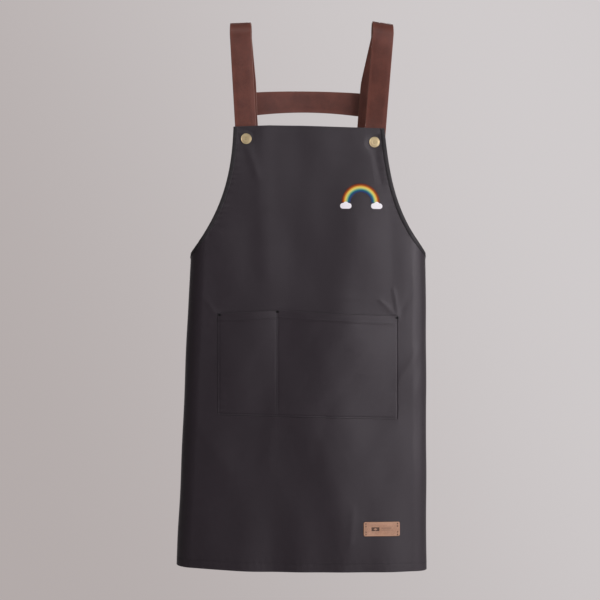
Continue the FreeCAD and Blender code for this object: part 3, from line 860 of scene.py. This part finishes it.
U, Z = front_grid()
front_data = joined([layer_data(U, Z, 0.0, -CLOTH), turn_up(U[-1])])
apron_front = ride(layer_piece("apron_front_cloth", front_data, CLOTH_FINISH), "apron_body", "apron_cloth",
                   "front_panel")
side_flaps, FLAP_AREA = {}, {}
for side in SIDES:
    u, z = flap_grid(side)
    FLAP_AREA[side] = flat_area(u, z)
    data = joined([layer_data(u, z, 0.0, -CLOTH), turn_up(u[-1]), free_hem(side)])
    flap = layer_piece(f"side_flap_{side}", data, CLOTH_FINISH)
    side_flaps[side] = on_flap(flap, side, "apron_cloth", f"flap_panel_{side}")


# ---------------------------------------------------------------- binding tape
TAPE_STEP = 0.0021


def armhole_run(side):
    """The whole armhole edge every 2 mm, with inward directions, and the index where the flap's part starts."""
    front, rear = front_armhole(side), rear_armhole(side)
    line = np.concatenate([front, rear[1:]])
    length = run_length(line)
    split = length[len(front) - 1]
    first = np.linspace(0, split, int(split / TAPE_STEP))
    last = np.linspace(split, length[-1], int((length[-1] - split) / TAPE_STEP))
    s = np.concatenate([first, last[1:]])
    place = np.stack([np.interp(s, length, line[:, k]) for k in (0, 1)], -1)
    along = unit(np.gradient(place, axis=0))
    padded = np.pad(along, ((4, 4), (0, 0)), mode="edge")
    along = unit(np.stack([np.convolve(padded[:, k], np.hanning(9), "valid") for k in (0, 1)], -1))
    inward = np.stack([along[:, 1], -along[:, 0]], -1) * SIGN[side]
    if np.sum(inward[: len(first)] * np.array([SIGN[side], 0])) > 0:
        inward = -inward
    return place, inward, s, len(first) - 1


# Tape section in mm, edge to edge: distance in from the cloth's edge, height above its outer face.
TAPE_SECTION = np.array([
    (6.0, 0.03), (6.0, 0.38), (5.7, 0.52), (3.2, 0.60), (0.6, 0.55), (-0.25, 0.30), (-0.55, -0.20),
    (-0.60, -0.50), (-0.55, -0.80), (-0.25, -1.30), (0.6, -1.55), (3.2, -1.60), (5.7, -1.52),
    (6.0, -1.38), (6.0, -1.03), (0.1, -1.02), (0.1, 0.02)]) / 1000


def tape_piece(name, run, part):
    place, inward, s = (each[part] for each in run)
    rows = [on_cloth(*(place + inward * d).T, off) for d, off in TAPE_SECTION]
    points = np.stack(rows, 1)
    uv = np.stack(np.broadcast_arrays(TAPE_SECTION[None, :, 0], s[:, None]), -1)
    return tube_piece(name, points, uv, (), TAPE_FINISH)


front_tapes, flap_tapes, stitch_rows, flap_rows = {}, {}, [], {}
for side in SIDES:
    *run, cut = armhole_run(side)
    on_front, on_back = slice(0, cut + 1), slice(cut, None)
    front_tapes[side] = ride(tape_piece(f"armhole_tape_{side}", run, on_front), "apron_body", "binding_tape",
                             f"armhole_binding_{side}")
    flap_tapes[side] = on_flap(tape_piece(f"flap_tape_{side}", run, on_back), side, "binding_tape",
                               f"flap_binding_{side}")
    seam = run[0] + run[1] * TAPE_SEAM_IN
    flap_rows[side] = [cloth_line(*seam[on_back].T, SEAM_LIFT)]
    under, face = cloth_line(*seam[2: cut + 1].T, -TAPE_UNDER)
    stitch_rows += [cloth_line(*seam[2: cut + 1].T, SEAM_LIFT), (under, -face)]

# ---------------------------------------------------------------- pocket
(PX0, PZ0), (PXM, PZM), (PX1, PZ1) = POCKET_TOP


def pocket_columns(count=170):
    """Columns crowd together where the seams are."""
    x = np.linspace(PX0, PX1, 2000)
    weight = 1 + 3 * sum(bell(x, seam, 0.004) for seam in (PX0, PXM, PX1))
    total = np.cumsum(weight)
    return np.interp(np.linspace(total[0], total[-1], count), total, x)


def pocket_top_z(x):
    straight = np.interp(x, [PX0, PXM, PX1], [PZ0, PZM, PZ1])
    sag = np.where(x < PXM, np.sin(math.pi * (x - PX0) / (PXM - PX0)),
                   1.6 * np.sin(math.pi * (x - PXM) / (PX1 - PXM)))
    return straight - 0.0009 * np.clip(sag, 0, None)


def pocket_foot_z(x):
    return between(POCKET_FOOT_Z, x, PX0, PX1)


def pocket_height(x, t):
    """Height of the pocket's inner face above the apron; t runs from mouth to foot."""
    room = np.where(x < PXM, 0.0014 * np.sin(math.pi * np.clip((x - PX0) / (PXM - PX0), 0, 1)),
                    0.0024 * np.sin(math.pi * np.clip((x - PXM) / (PX1 - PXM), 0, 1)))
    room = np.clip(room, 0, None) ** 0.85 * 0.0025 ** 0.15
    full = room * ((1 - t) ** 1.4 + 0.30 * np.sin(math.pi * t) ** 0.8)
    crumple = 0.00030 * np.sin(95 * x + 60 * t * 0.16 + 0.5) * np.sin(7 * t + 18 * x)
    return 0.00012 + full + np.clip(crumple, -0.00008, None) * np.clip(room / 0.002, 0, 1)


def mouth_layer(deep):
    """The turned cloth at the mouth adds a little to the pocket's thickness."""
    return 0.0002 * (1 - smooth(deep, *MOUTH_HEM))


X = np.repeat(pocket_columns()[None], 74, 0)
T = np.concatenate([np.linspace(0, 0.12, 22), np.linspace(0.12, 0.96, 42)[1:], np.linspace(0.96, 1, 12)[1:]])
T = np.repeat(T[:, None], X.shape[1], 1)
TALL = pocket_top_z(X) - pocket_foot_z(X)
PZ = pocket_top_z(X) - T * TALL
low = pocket_height(X, T)
high = low + 0.0009 + mouth_layer(T * TALL)
for gap, dip in ((X - PX0, 0.00018), (PX1 - X, 0.00040), ((1 - T) * TALL, 0.00020)):
    high = high - dip * bell(gap, POCKET_SEAM_IN, 0.0009)
for line in (-DIVIDER_HALF, DIVIDER_HALF):
    high = high - 0.00016 * bell(X - PXM, line, 0.0008)
high = high - 0.00007 * bell(T * TALL, 0.0085, 0.0009)
edges = bell(X - PX1, -0.004, 0.006) + bell(X - PX0, 0.004, 0.006)
high = high + 0.00010 * np.sin(2 * math.pi * PZ / 0.011 + 3 * np.sin(40 * PZ)) * edges
high = np.maximum(high, low + 0.0004)
pocket = layer_piece("pocket_cloth", layer_data(X - centre_x(PZ), PZ, high, low), CLOTH_FINISH)
ride(pocket, "apron_body", "apron_cloth", "pocket_panel")


def pocket_line(x, t, proud=0.0):
    """A stitched line on the pocket's outer face."""
    x, t = np.broadcast_arrays(np.asarray(x, float), np.asarray(t, float))
    deep = t * (pocket_top_z(x) - pocket_foot_z(x))
    z = pocket_top_z(x) - deep
    line, face = cloth_line(x - centre_x(z), z, (pocket_height(x, t) + 0.00080 + mouth_layer(deep))[..., None])
    return line + face * proud, face


down = np.linspace(0.004, 0.985, 90)
for x in (PX0 + POCKET_SEAM_IN, PXM - DIVIDER_HALF, PXM + DIVIDER_HALF, PX1 - POCKET_SEAM_IN):
    stitch_rows.append(pocket_line(x, down))
wide = np.linspace(PX0 + POCKET_SEAM_IN, PX1 - POCKET_SEAM_IN, 160)
stitch_rows.append(pocket_line(wide, 1 - POCKET_SEAM_IN / POCKET_DEPTH))
stitch_rows.append(pocket_line(wide, 0.0115 / (pocket_top_z(wide) - pocket_foot_z(wide))))

BAR_HALF, BAR_INSET, BAR_LIFT = 0.0022, 0.0026, 0.0002
bars = []
for (x, z), dx in zip(POCKET_TOP, (BAR_INSET, 0, -BAR_INSET)):
    run = np.linspace(-BAR_HALF, BAR_HALF, 6) + x + dx
    bars.append(pocket_line(run, np.full(6, BAR_INSET / POCKET_DEPTH), BAR_LIFT))
    bars.append(pocket_line(np.full(6, x + dx * 0.8), np.linspace(0.004, 0.024, 6), BAR_LIFT))
tacks = stitched("pocket_mouth_tacks", bars, TACK_THREAD, pitch=0.00042, length=0.0026, width=0.00065,
                 turn=math.pi / 2)
ride(tacks, "apron_body", "dark_thread", "pocket_bartacks")

# ---------------------------------------------------------------- hem and edge stitching
hem_z = HEM_Z + HEM_DEPTH
fold = mid_fold(hem_z)
stitch_rows.append(cloth_line(np.linspace(-fold + FOLD_GAP, fold - FOLD_GAP, 260), hem_z, HAIR))
front_stitching = ride(stitched("front_stitching", stitch_rows, DARK_THREAD), "apron_body", "dark_thread")
for side in SIDES:
    run = np.linspace(fold + FOLD_GAP, flap_edge(side, hem_z) - SIDE_SEAM_IN, 90)
    flap_rows[side].append(cloth_line(SIGN[side] * run, hem_z, HAIR))
    z = np.linspace(FLAP_TOP_Z - 0.007, hem_z, 200)
    flap_rows[side].append(cloth_line(SIGN[side] * (flap_edge(side, z) - SIDE_SEAM_IN), z, HAIR))
    thread = stitched(f"flap_stitching_{side}", flap_rows[side], DARK_THREAD)
    on_flap(thread, side, "dark_thread")


# ---------------------------------------------------------------- leather straps
def strap_section(half, thick, edge=0.0006):
    """Closed section of a strap: flat faces, crowned a little, with softened edges."""
    h = thick / 2
    flat = half - edge
    w = [flat, flat * 0.93, flat * 0.6, 0, -flat * 0.6, -flat * 0.93, -flat]
    top = [(a, h * (1.0 if abs(a) < flat * 0.95 else 0.94)) for a in w]
    side_a = [(-half + 0.0001, h * 0.45), (-half, 0.0), (-half + 0.0001, -h * 0.45)]
    under = [(-a, -b) for a, b in top]
    side_b = [(-a, -b) for a, b in side_a]
    return np.array(top + side_a + under + side_b)


def strap_piece(name, place, wide, half, thick, tail=None, flare=1.0):
    """Ribbon of leather along place with its width directions; tail rounds the corners of its last end."""
    along = unit(np.gradient(place, axis=0))
    wide = unit(wide - along * np.sum(wide * along, 1, keepdims=True))
    section_points = strap_section(half, thick)
    s = run_length(place)
    shrink = np.ones(len(s))
    if tail:
        inside = np.clip(tail - (s[-1] - s), 0, tail * 0.999)
        shrink = (half - tail + np.sqrt(tail ** 2 - inside ** 2)) / half
    w = section_points[None, :, 0] * (shrink * flare)[:, None]
    out = np.cross(wide, along)[:, None] * section_points[None, :, 1, None]
    points = place[:, None] + wide[:, None] * w[..., None] + out
    uv = np.stack(np.broadcast_arrays(w, s[:, None]), -1)
    relative = np.abs(section_points[:, 0]) / half
    marks = (("cut", relative > CUT_FROM), ("rim", np.clip((relative - RIM_FROM) / 0.2, 0, 1)),
             ("pressed", (relative > PRESSED[0]) & (relative < PRESSED[1])))
    values = [(label, np.tile(mark.astype(float), len(s))) for label, mark in marks]
    return tube_piece(name, points, uv, values, STRAP_FINISH)


def smoothed(x, width):
    kernel = np.hanning(width + 2)[1:-1]
    kernel /= kernel.sum()
    lead = np.pad(x, (width // 2, width // 2), mode="reflect", reflect_type="odd")
    return np.convolve(lead, kernel, "valid")[: len(x)]


MID_R = HANGER_R + STRAP_T / 2
ARC_COUNT = 24
TILT = {"left": 0.035, "right": -0.15}     # how far each strap's top leans sideways
TURN = {"left": 0.04, "right": -0.14}      # how far each front strap turns about its length


def strap_path(side, front):
    """Places and width directions of one strap from the hanger's top to its tail."""
    top, ends = STRAP_TOP_X[side], 1 if front else -1
    snap = BIB_SNAP[side] if front else WAIST_SNAP[side]
    bends = [] if front else [BACK_BEND[side], BACK_SPLIT[side]]
    foot = snap[1] - STRAP_TAIL
    knots = np.array([(top, 0), *bends, snap, (snap[0], foot)])[::-1]
    z = np.arange(0, foot - 1e-9, -0.002)
    z = np.append(z, foot) if abs(z[-1] - foot) > 1e-4 else z
    x = smoothed(np.interp(z, knots[:, 1], knots[:, 0]), 15)
    x = x - (x[0] - top) * np.exp(z / 0.03)
    body = np.stack([x, np.full_like(z, -ends * MID_R), z], -1)
    loop = np.linspace(math.pi / 2, math.pi, ARC_COUNT)
    arc = np.stack([np.full(ARC_COUNT, top), ends * MID_R * np.cos(loop), MID_R * np.sin(loop)], -1)
    place = np.concatenate([arc[:-1], body])
    on_arc = np.zeros(ARC_COUNT - 1)
    lean = (-np.gradient(x, z) - TILT[side]) * smooth(-z, 0.0, 0.03)
    tilt = TILT[side] + np.concatenate([on_arc, lean])
    settle = smooth(-z, 0.0, 0.05) * smooth(z, snap[1], snap[1] + 0.05)
    place[:, 1] += ends * 0.0006 * np.concatenate([on_arc, settle * np.sin(z * 40)])
    turn = np.concatenate([on_arc, smooth(-z, 0.0, 0.035) * smooth(z, -0.160, -0.132)]) * TURN[side] * front
    return place, np.stack([np.cos(turn), np.sin(turn), tilt], -1)


for side in SIDES:
    for where, joint_y, joint_x, z0, z1, nodes in (
            ("front", -MID_R, STRAP_TOP_X[side], 0.0, -0.030, ("loop", "front")),
            ("back", MID_R, BACK_SPLIT[side][0], -0.1317, -0.156, ("back_upper", "back_lower"))):
        place, wide = strap_path(side, where == "front")
        strap = strap_piece(f"{where}_strap_{side}", place, wide, STRAP_W / 2, STRAP_T, TAIL_R)
        on_strap(strap, f"{side}_{where}_strap", (joint_x, joint_y, z0), (joint_x, joint_y, z1),
                 *(f"strap_{node}_{side}" for node in nodes))


# ---------------------------------------------------------------- cross strap
(CX0, CZ0), (CXM, CZM), (CX1, CZ1) = CROSS_TOP
x = np.linspace(CX0, CX1, 80)
fit = np.polyfit([CX0, CXM, CX1], [CZ0, CZM, CZ1], 2)
spread = 0.0002 + 0.0046 * np.minimum(np.abs(x - CXM) / (CX1 - CXM), 0.72) ** 1.8
z = np.polyval(fit, x) - (CROSS_H + spread) / 2
bow = np.sin(math.pi * (x - CX0) / (CX1 - CX0))
y = np.full_like(x, HANGER_R + STRAP_T + HAIR + STRAP_T / 2) + 0.0055 * bow ** 1.5
lean = 0.05 * bow
slope = np.gradient(z, x)
cross = strap_piece("cross_strap_leather", np.stack([x, y, z], -1),
                    np.stack([-slope, lean, np.ones_like(x)], -1), CROSS_H / 2, STRAP_T,
                    flare=1 + spread / CROSS_H)
ride(cross, "apron_body", "brown_leather", "cross_strap")
BOX_HALF, BOX_IN = 0.0092, 0.0145          # stitched square, and its middle's distance from the strap's end
boxes = []
for (x0, z0) in (CROSS_TOP[0], CROSS_TOP[2]):
    cx, cz = x0 + math.copysign(BOX_IN, -x0), z0 - CROSS_H / 2 + 0.0003
    h, y0 = BOX_HALF, HANGER_R + 2 * STRAP_T + 0.0002
    ring = [(-h, -h), (h, -h), (h, h), (-h, h), (-h, -h)]
    for (a, b), (c, d) in list(zip(ring, ring[1:])) + [((-h, -h), (h, h)), ((-h, h), (h, -h))]:
        t = np.linspace(0, 1, 8)
        line = np.stack([cx + a + (c - a) * t, np.full(8, y0), cz + b + (d - b) * t], -1)
        boxes.append((line, np.tile([0.0, 1.0, 0.0], (8, 1))))
box_stitches = stitched("cross_strap_thread", boxes, BROWN_THREAD, pitch=0.0030, length=0.0024, width=0.0007)
ride(box_stitches, "apron_body", "brown_thread", "cross_strap_stitches")

# ---------------------------------------------------------------- press snaps
# Half section of a snap cap in mm, from its middle outwards: radius, height above the cloth.
CAP = np.array([
    (0, 1.24), (1.6, 1.23), (2.3, 1.19), (2.5, 1.09), (2.75, 1.09), (2.95, 1.18), (4.4, 1.17), (5.6, 1.13),
    (6.4, 1.08), (6.7, 0.96), (6.95, 0.94), (7.2, 1.06), (7.5, 1.21), (7.85, 1.25), (8.15, 1.16),
    (8.38, 0.94), (8.5, 0.66), (8.42, 0.36), (8.1, 0.14), (6.0, 0.12), (2.0, 0.12), (2.0, -2.1),
    (0, -2.1)]) / 1000
RIBS, RIB_HIGH = 24, 0.00006


def snap_cap(name, x, z, face_y, out):
    """Turned cap: a rolled rim round a dished centre with faint ribs, and its post through the cloth; tarnish
    in its grooves, painted shade at its rim's foot and underside.
    """
    count = 56
    angle = np.arange(count) * 2 * math.pi / count
    points, tarnish_and_shade, uv, rings = [], [], [], []
    for r, h in CAP:
        ring = angle if r else angle[:1]
        rings.append(list(range(len(points), len(points) + len(ring))))
        dark = 0.45 if 0.0067 < r < 0.0072 else 0.55 if 0.0019 < r < 0.0024 else 0.0    # tarnish in the two grooves
        dark = 1.0 if r > 0.0083 or h < 0.0005 else dark                                # painted shade at the rim's foot and under the cap
        ribbed = 0.0026 < r < 0.0056 and h > 0
        for a in ring:
            lift = h + (RIB_HIGH * math.cos(RIBS * a) if ribbed else 0.0)
            points.append((x + r * math.cos(a), face_y + out * lift, z + r * math.sin(a)))
            uv.append((r, a))
            tarnish_and_shade.append(dark if r else 0.2)
    faces = []
    for a, b in zip(rings, rings[1:]):
        for k in range(count):
            m = (k + 1) % count
            if len(a) == 1:
                faces.append([a[0], b[k], b[m]])
            elif len(b) == 1:
                faces.append([a[k], b[0], a[m]])
            else:
                faces.append([a[k], b[k], b[m], a[m]])
    return outwards(new_piece(name, points, faces, uv, [("tarnish_and_shade", tarnish_and_shade)], material=BRASS))


for side in SIDES:
    x, z = BIB_SNAP[side]
    front_y = float(on_cloth(x - centre_x(z), z)[1])
    ride(snap_cap(f"bib_snap_top_{side}", x, z, front_y, -1), "apron_body", "antique_brass",
         f"bib_snap_{side}_cap")
    ride(snap_cap(f"waist_snap_top_{side}", *WAIST_SNAP[side], FOLD_R, 1), f"{side}_flap", "antique_brass",
         f"waist_snap_{side}_cap")
for name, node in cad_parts.items():
    if name.endswith(("_socket", "_stud", "_rivet")):
        for place in node.material_slots:
            place.material = PLAIN_BRASS


# ---------------------------------------------------------------- leather patch
def past_corner(a, b):
    """How far a place on the patch lies beyond where its round corners start, each way."""
    return (np.maximum(np.abs(a) - (LABEL_HALF[0] - LABEL_CORNER_R), 0),
            np.maximum(np.abs(b) - (LABEL_HALF[1] - LABEL_CORNER_R), 0))


def patch_grid():
    """The patch as a fine grid, so that its pressed frame and mark are real hollows."""
    steps = (np.linspace(-1, 1, 150), np.linspace(1, -1, 64))
    a, b = (np.sin(t * math.pi / 2) * 0.25 + t * 0.75 for t in steps)
    a, b = np.meshgrid(a * LABEL_HALF[0], b * LABEL_HALF[1])
    past = past_corner(a, b)
    far = np.hypot(*past)
    limit = np.maximum(np.maximum(*past), 1e-9)
    squeeze = np.where(far > 0, limit / np.maximum(far, 1e-9), 1.0)
    return tuple(np.sign(c) * (np.minimum(np.abs(c), half - LABEL_CORNER_R) + beyond * squeeze)
                 for c, half, beyond in zip((a, b), LABEL_HALF, past))


LABEL_HALF = (LABEL_SIZE[0] / 2, LABEL_SIZE[1] / 2)
A, B = patch_grid()
ex, ez = past_corner(A, B)
to_edge = np.where((ex > 0) & (ez > 0), LABEL_CORNER_R - np.hypot(ex, ez),
                   np.minimum(LABEL_HALF[0] - np.abs(A), LABEL_HALF[1] - np.abs(B)))
frame_line = bell(to_edge, 0.0024, 0.0004)


def bar(x0, x1, z, half):
    inside = np.minimum(np.minimum(A - x0, x1 - A), half - np.abs(B - z))
    return smooth(inside, *PATCH_STEP)


block = bar(-0.0162, -0.0038, 0.0, 0.0030)
lozenge = smooth(0.0020 - (np.abs(A + 0.0100) * 0.6 + np.abs(B)), *PATCH_STEP)
burn = np.clip(block * (1 - 0.8 * lozenge) + 0.75 * bar(-0.0010, 0.0150, 0.0016, 0.00045)
               + 0.75 * bar(-0.0010, 0.0128, -0.0014, 0.00045), 0, 1)
dome = LABEL_T - 0.00055 * np.exp(-np.clip(to_edge, 0, 1) / 0.0006)
top = dome - 0.00028 * frame_line - 0.00020 * burn
LZ = LABEL_CENTRE[1] + B
patch_data = layer_data(LABEL_CENTRE[0] + A - centre_x(LZ), LZ, top, HAIR)
rest = len(patch_data[0]) - A.size
cut = np.concatenate([smooth(0.0004 - to_edge.ravel(), -0.0002, 0.0004), np.ones(rest)])
burnt = np.concatenate([np.maximum(burn, 0.50 * frame_line).ravel(), np.zeros(rest)])
rim = np.concatenate([np.exp(-np.clip(to_edge, 0, 1) / 0.0015).ravel(), np.ones(rest)])
ride(layer_piece("leather_patch", patch_data, PATCH_FINISH, [("cut", cut), ("burn", burnt), ("rim", rim)]),
     "apron_body", "tan_leather", "label_patch")

corners = []
for sx in (-1, 1):
    for sz in (-1, 1):
        x = LABEL_CENTRE[0] + sx * (LABEL_HALF[0] - 0.0035)
        z = LABEL_CENTRE[1] + sz * (LABEL_HALF[1] - 0.0045)
        for strand in (0, -0.0005, 0.0005):
            zs = np.linspace(z - 0.002, z + 0.002, 4)
            corners.append(cloth_line(x + strand - centre_x(zs), zs, LABEL_T + 0.0001))
ride(stitched("patch_corner_thread", corners, BROWN_THREAD, pitch=0.0020, length=0.0024, width=0.0006),
     "apron_body", "brown_thread", "label_corner_stitches")

# ---------------------------------------------------------------- rainbow and clouds
for i, colour in enumerate(BAND_NAMES):
    outer = RAINBOW_R - i * BAND_W
    inner = outer - BAND_W + 0.00002
    R, ANGLE = np.meshgrid(np.linspace(outer, inner, 7), np.linspace(math.pi, 0, 90), indexing="ij")
    bx, bz = RAINBOW_CENTRE[0] + R * np.cos(ANGLE), RAINBOW_CENTRE[1] + R * np.sin(ANGLE)
    ease = (outer - R) / (outer - inner)
    crown = 0.00034 - 0.00012 * (2 * ease - 1) ** 4
    ring = np.array([ease[a, b] for a, b in ring_index(*ease.shape)])
    across = np.concatenate([ease.ravel(), ease.ravel(), ring])
    band = layer_piece(f"rainbow_{colour}_print", layer_data(bx - centre_x(bz), bz, crown, 0.00004),
                       PRINTS[colour], [("across", across)])
    ride(outwards(band), "apron_body", f"{colour}_print", f"rainbow_{colour}_band")


def cloud_outline(cx, shrink, count=96):
    """Outline of three round puffs over a flat foot."""
    centres = np.array([(-CLOUD_R, 0.0), (CLOUD_R, 0.0), (0.0, CLOUD_R * 0.5)])
    a = np.linspace(0, 2 * math.pi, count, endpoint=False)
    ray = np.stack([np.cos(a), np.sin(a)], -1)
    best = np.zeros(count)
    for c in centres:
        b = ray @ c
        inside = b ** 2 - (c @ c) + CLOUD_R ** 2
        best = np.maximum(best, b + np.sqrt(np.clip(inside, 0, None)))
    foot = np.where(ray[:, 1] < -0.05, CLOUD_R / np.maximum(-ray[:, 1], 0.05), 1.0)
    reach = np.where(np.abs(ray[:, 0]) * np.minimum(best, foot) > CLOUD_R, best, foot)
    best = np.maximum(best, np.where((ray[:, 1] < -0.05) & (np.abs(ray[:, 0]) * foot <= CLOUD_R), foot, 0))
    return np.stack([cx + ray[:, 0] * best * shrink, CLOUD_FOOT_Z + CLOUD_R + ray[:, 1] * best * shrink], -1)


def cloud_piece(side):
    """Low solid on the cloth: outlines that shrink as they rise, closed at both ends."""
    points, uv = [], []
    for shrink, height in CLOUD_STEPS:
        x, z = cloud_outline(CLOUD_X[side], shrink).T
        points.append(on_cloth(x - centre_x(z), z, height))
        uv.append(np.stack([x - centre_x(z), z], -1))
    count, hub = len(uv[0]), len(uv) * len(uv[0])
    fan = [[hub - count + j, hub - count + (j + 1) % count, hub] for j in range(count)]
    points.append(points[-1].mean(0)[None])
    uv.append(uv[-1].mean(0)[None])
    return outwards(new_piece(f"white_cloud_{side}", np.concatenate(points),
                              band_faces(len(CLOUD_STEPS), count) + [list(range(count))] + fan,
                              np.concatenate(uv), material=PRINTS["white"]))


CLOUD_STEPS = ((0.995, 0.00038), (1.0, 0.00060), (0.985, 0.00074), (0.93, 0.00080), (0.6, 0.00082),
               (0.3, 0.00084))
for side in SIDES:
    ride(cloud_piece(side), "apron_body", "white_print", f"cloud_{side}")


# ---------------------------------------------------------------- floor, light and camera
def floor_disc():
    material, n, shader = new_material("Pale floor", Roughness=0.8)
    tone = n.mix(n.noise(n.object_place(), 3.0, 3.0), rgba((0.56, 0.545, 0.535)), rgba((0.62, 0.605, 0.595)))
    n.join(tone, shader.inputs["Base Color"])
    a = np.linspace(0, 2 * math.pi, 96, endpoint=False)
    points = np.stack([FLOOR_R * np.cos(a), FLOOR_R * np.sin(a), np.full(96, STUDIO_FLOOR_Z)], -1)
    new_piece("studio_floor", points, [list(range(96))], points[:, :2], material=material)


def area_light(name, place, aim, size, power, colour=(1, 1, 1)):
    lamp = bpy.data.lights.new(name, "AREA")
    lamp.shape = "RECTANGLE"
    lamp.size, lamp.size_y = size
    lamp.energy = power
    lamp.color = colour
    holder = new_object(name, lamp)
    holder.location = place
    holder.rotation_euler = (Vector(aim) - Vector(place)).to_track_quat("-Z", "Y").to_euler()


def surroundings():
    """Plain pale grey to the eye, with painted light making it a little lighter towards the right and top; a
    dimmer room lights the front.
    """
    world = bpy.data.worlds.new("Studio")
    world.use_nodes = True
    bpy.context.scene.world = world
    n = Nodes(world.node_tree)
    ray = n.add("ShaderNodeSeparateXYZ", {0: n.add("ShaderNodeTexCoord").outputs["Generated"]}).outputs
    side = n.plus(ray["X"], n.times(ray["Z"], 0.45))
    # painted light: the backdrop the camera sees brightens towards the right and top
    seen = n.mix(n.spread(side, -0.34, 0.30), rgba((0.450, 0.405, 0.398)), rgba((0.635, 0.603, 0.607)))
    room = n.mix(n.spread(ray["Y"], -0.6, 0.7), rgba((0.165, 0.145, 0.160)), rgba((0.30, 0.28, 0.285)))
    room = n.mix(n.spread(ray["X"], -0.95, -0.15), rgba((0.120, 0.108, 0.110)), room)
    direct = n.add("ShaderNodeLightPath").outputs["Is Camera Ray"]
    background = world.node_tree.nodes["Background"].inputs
    n.join(n.mix(direct, room, seen), background["Color"])
    background["Strength"].default_value = 1.0


floor_disc()
surroundings()
WINDOW_TINT = (1.0, 0.94, 1.0)
area_light("window_light", (1.35, -1.80, 0.05), (0.02, 0.0, -0.45), (0.80, 1.8), 32, WINDOW_TINT)
area_light("side_light", (1.75, -0.55, -0.30), (0.1, 0.0, -0.45), (1.2, 1.8), 8, WINDOW_TINT)
area_light("top_fill", (-0.5, -1.4, 1.3), (0, 0, -0.4), (1.4, 1.0), 10)
area_light("rear_fill", (0.1, 1.9, 0.3), (0, 0, -0.4), (1.4, 1.4), 26)

camera = new_object("view_camera", bpy.data.cameras.new("view_camera"))
camera.data.lens, camera.data.sensor_width = 76.1, 36.0
camera.location = (-0.015, -2.025, -0.4215)
camera.rotation_euler = (math.pi / 2, 0, 0)
bpy.context.scene.camera = camera
bpy.context.scene.view_settings.view_transform = "Standard"
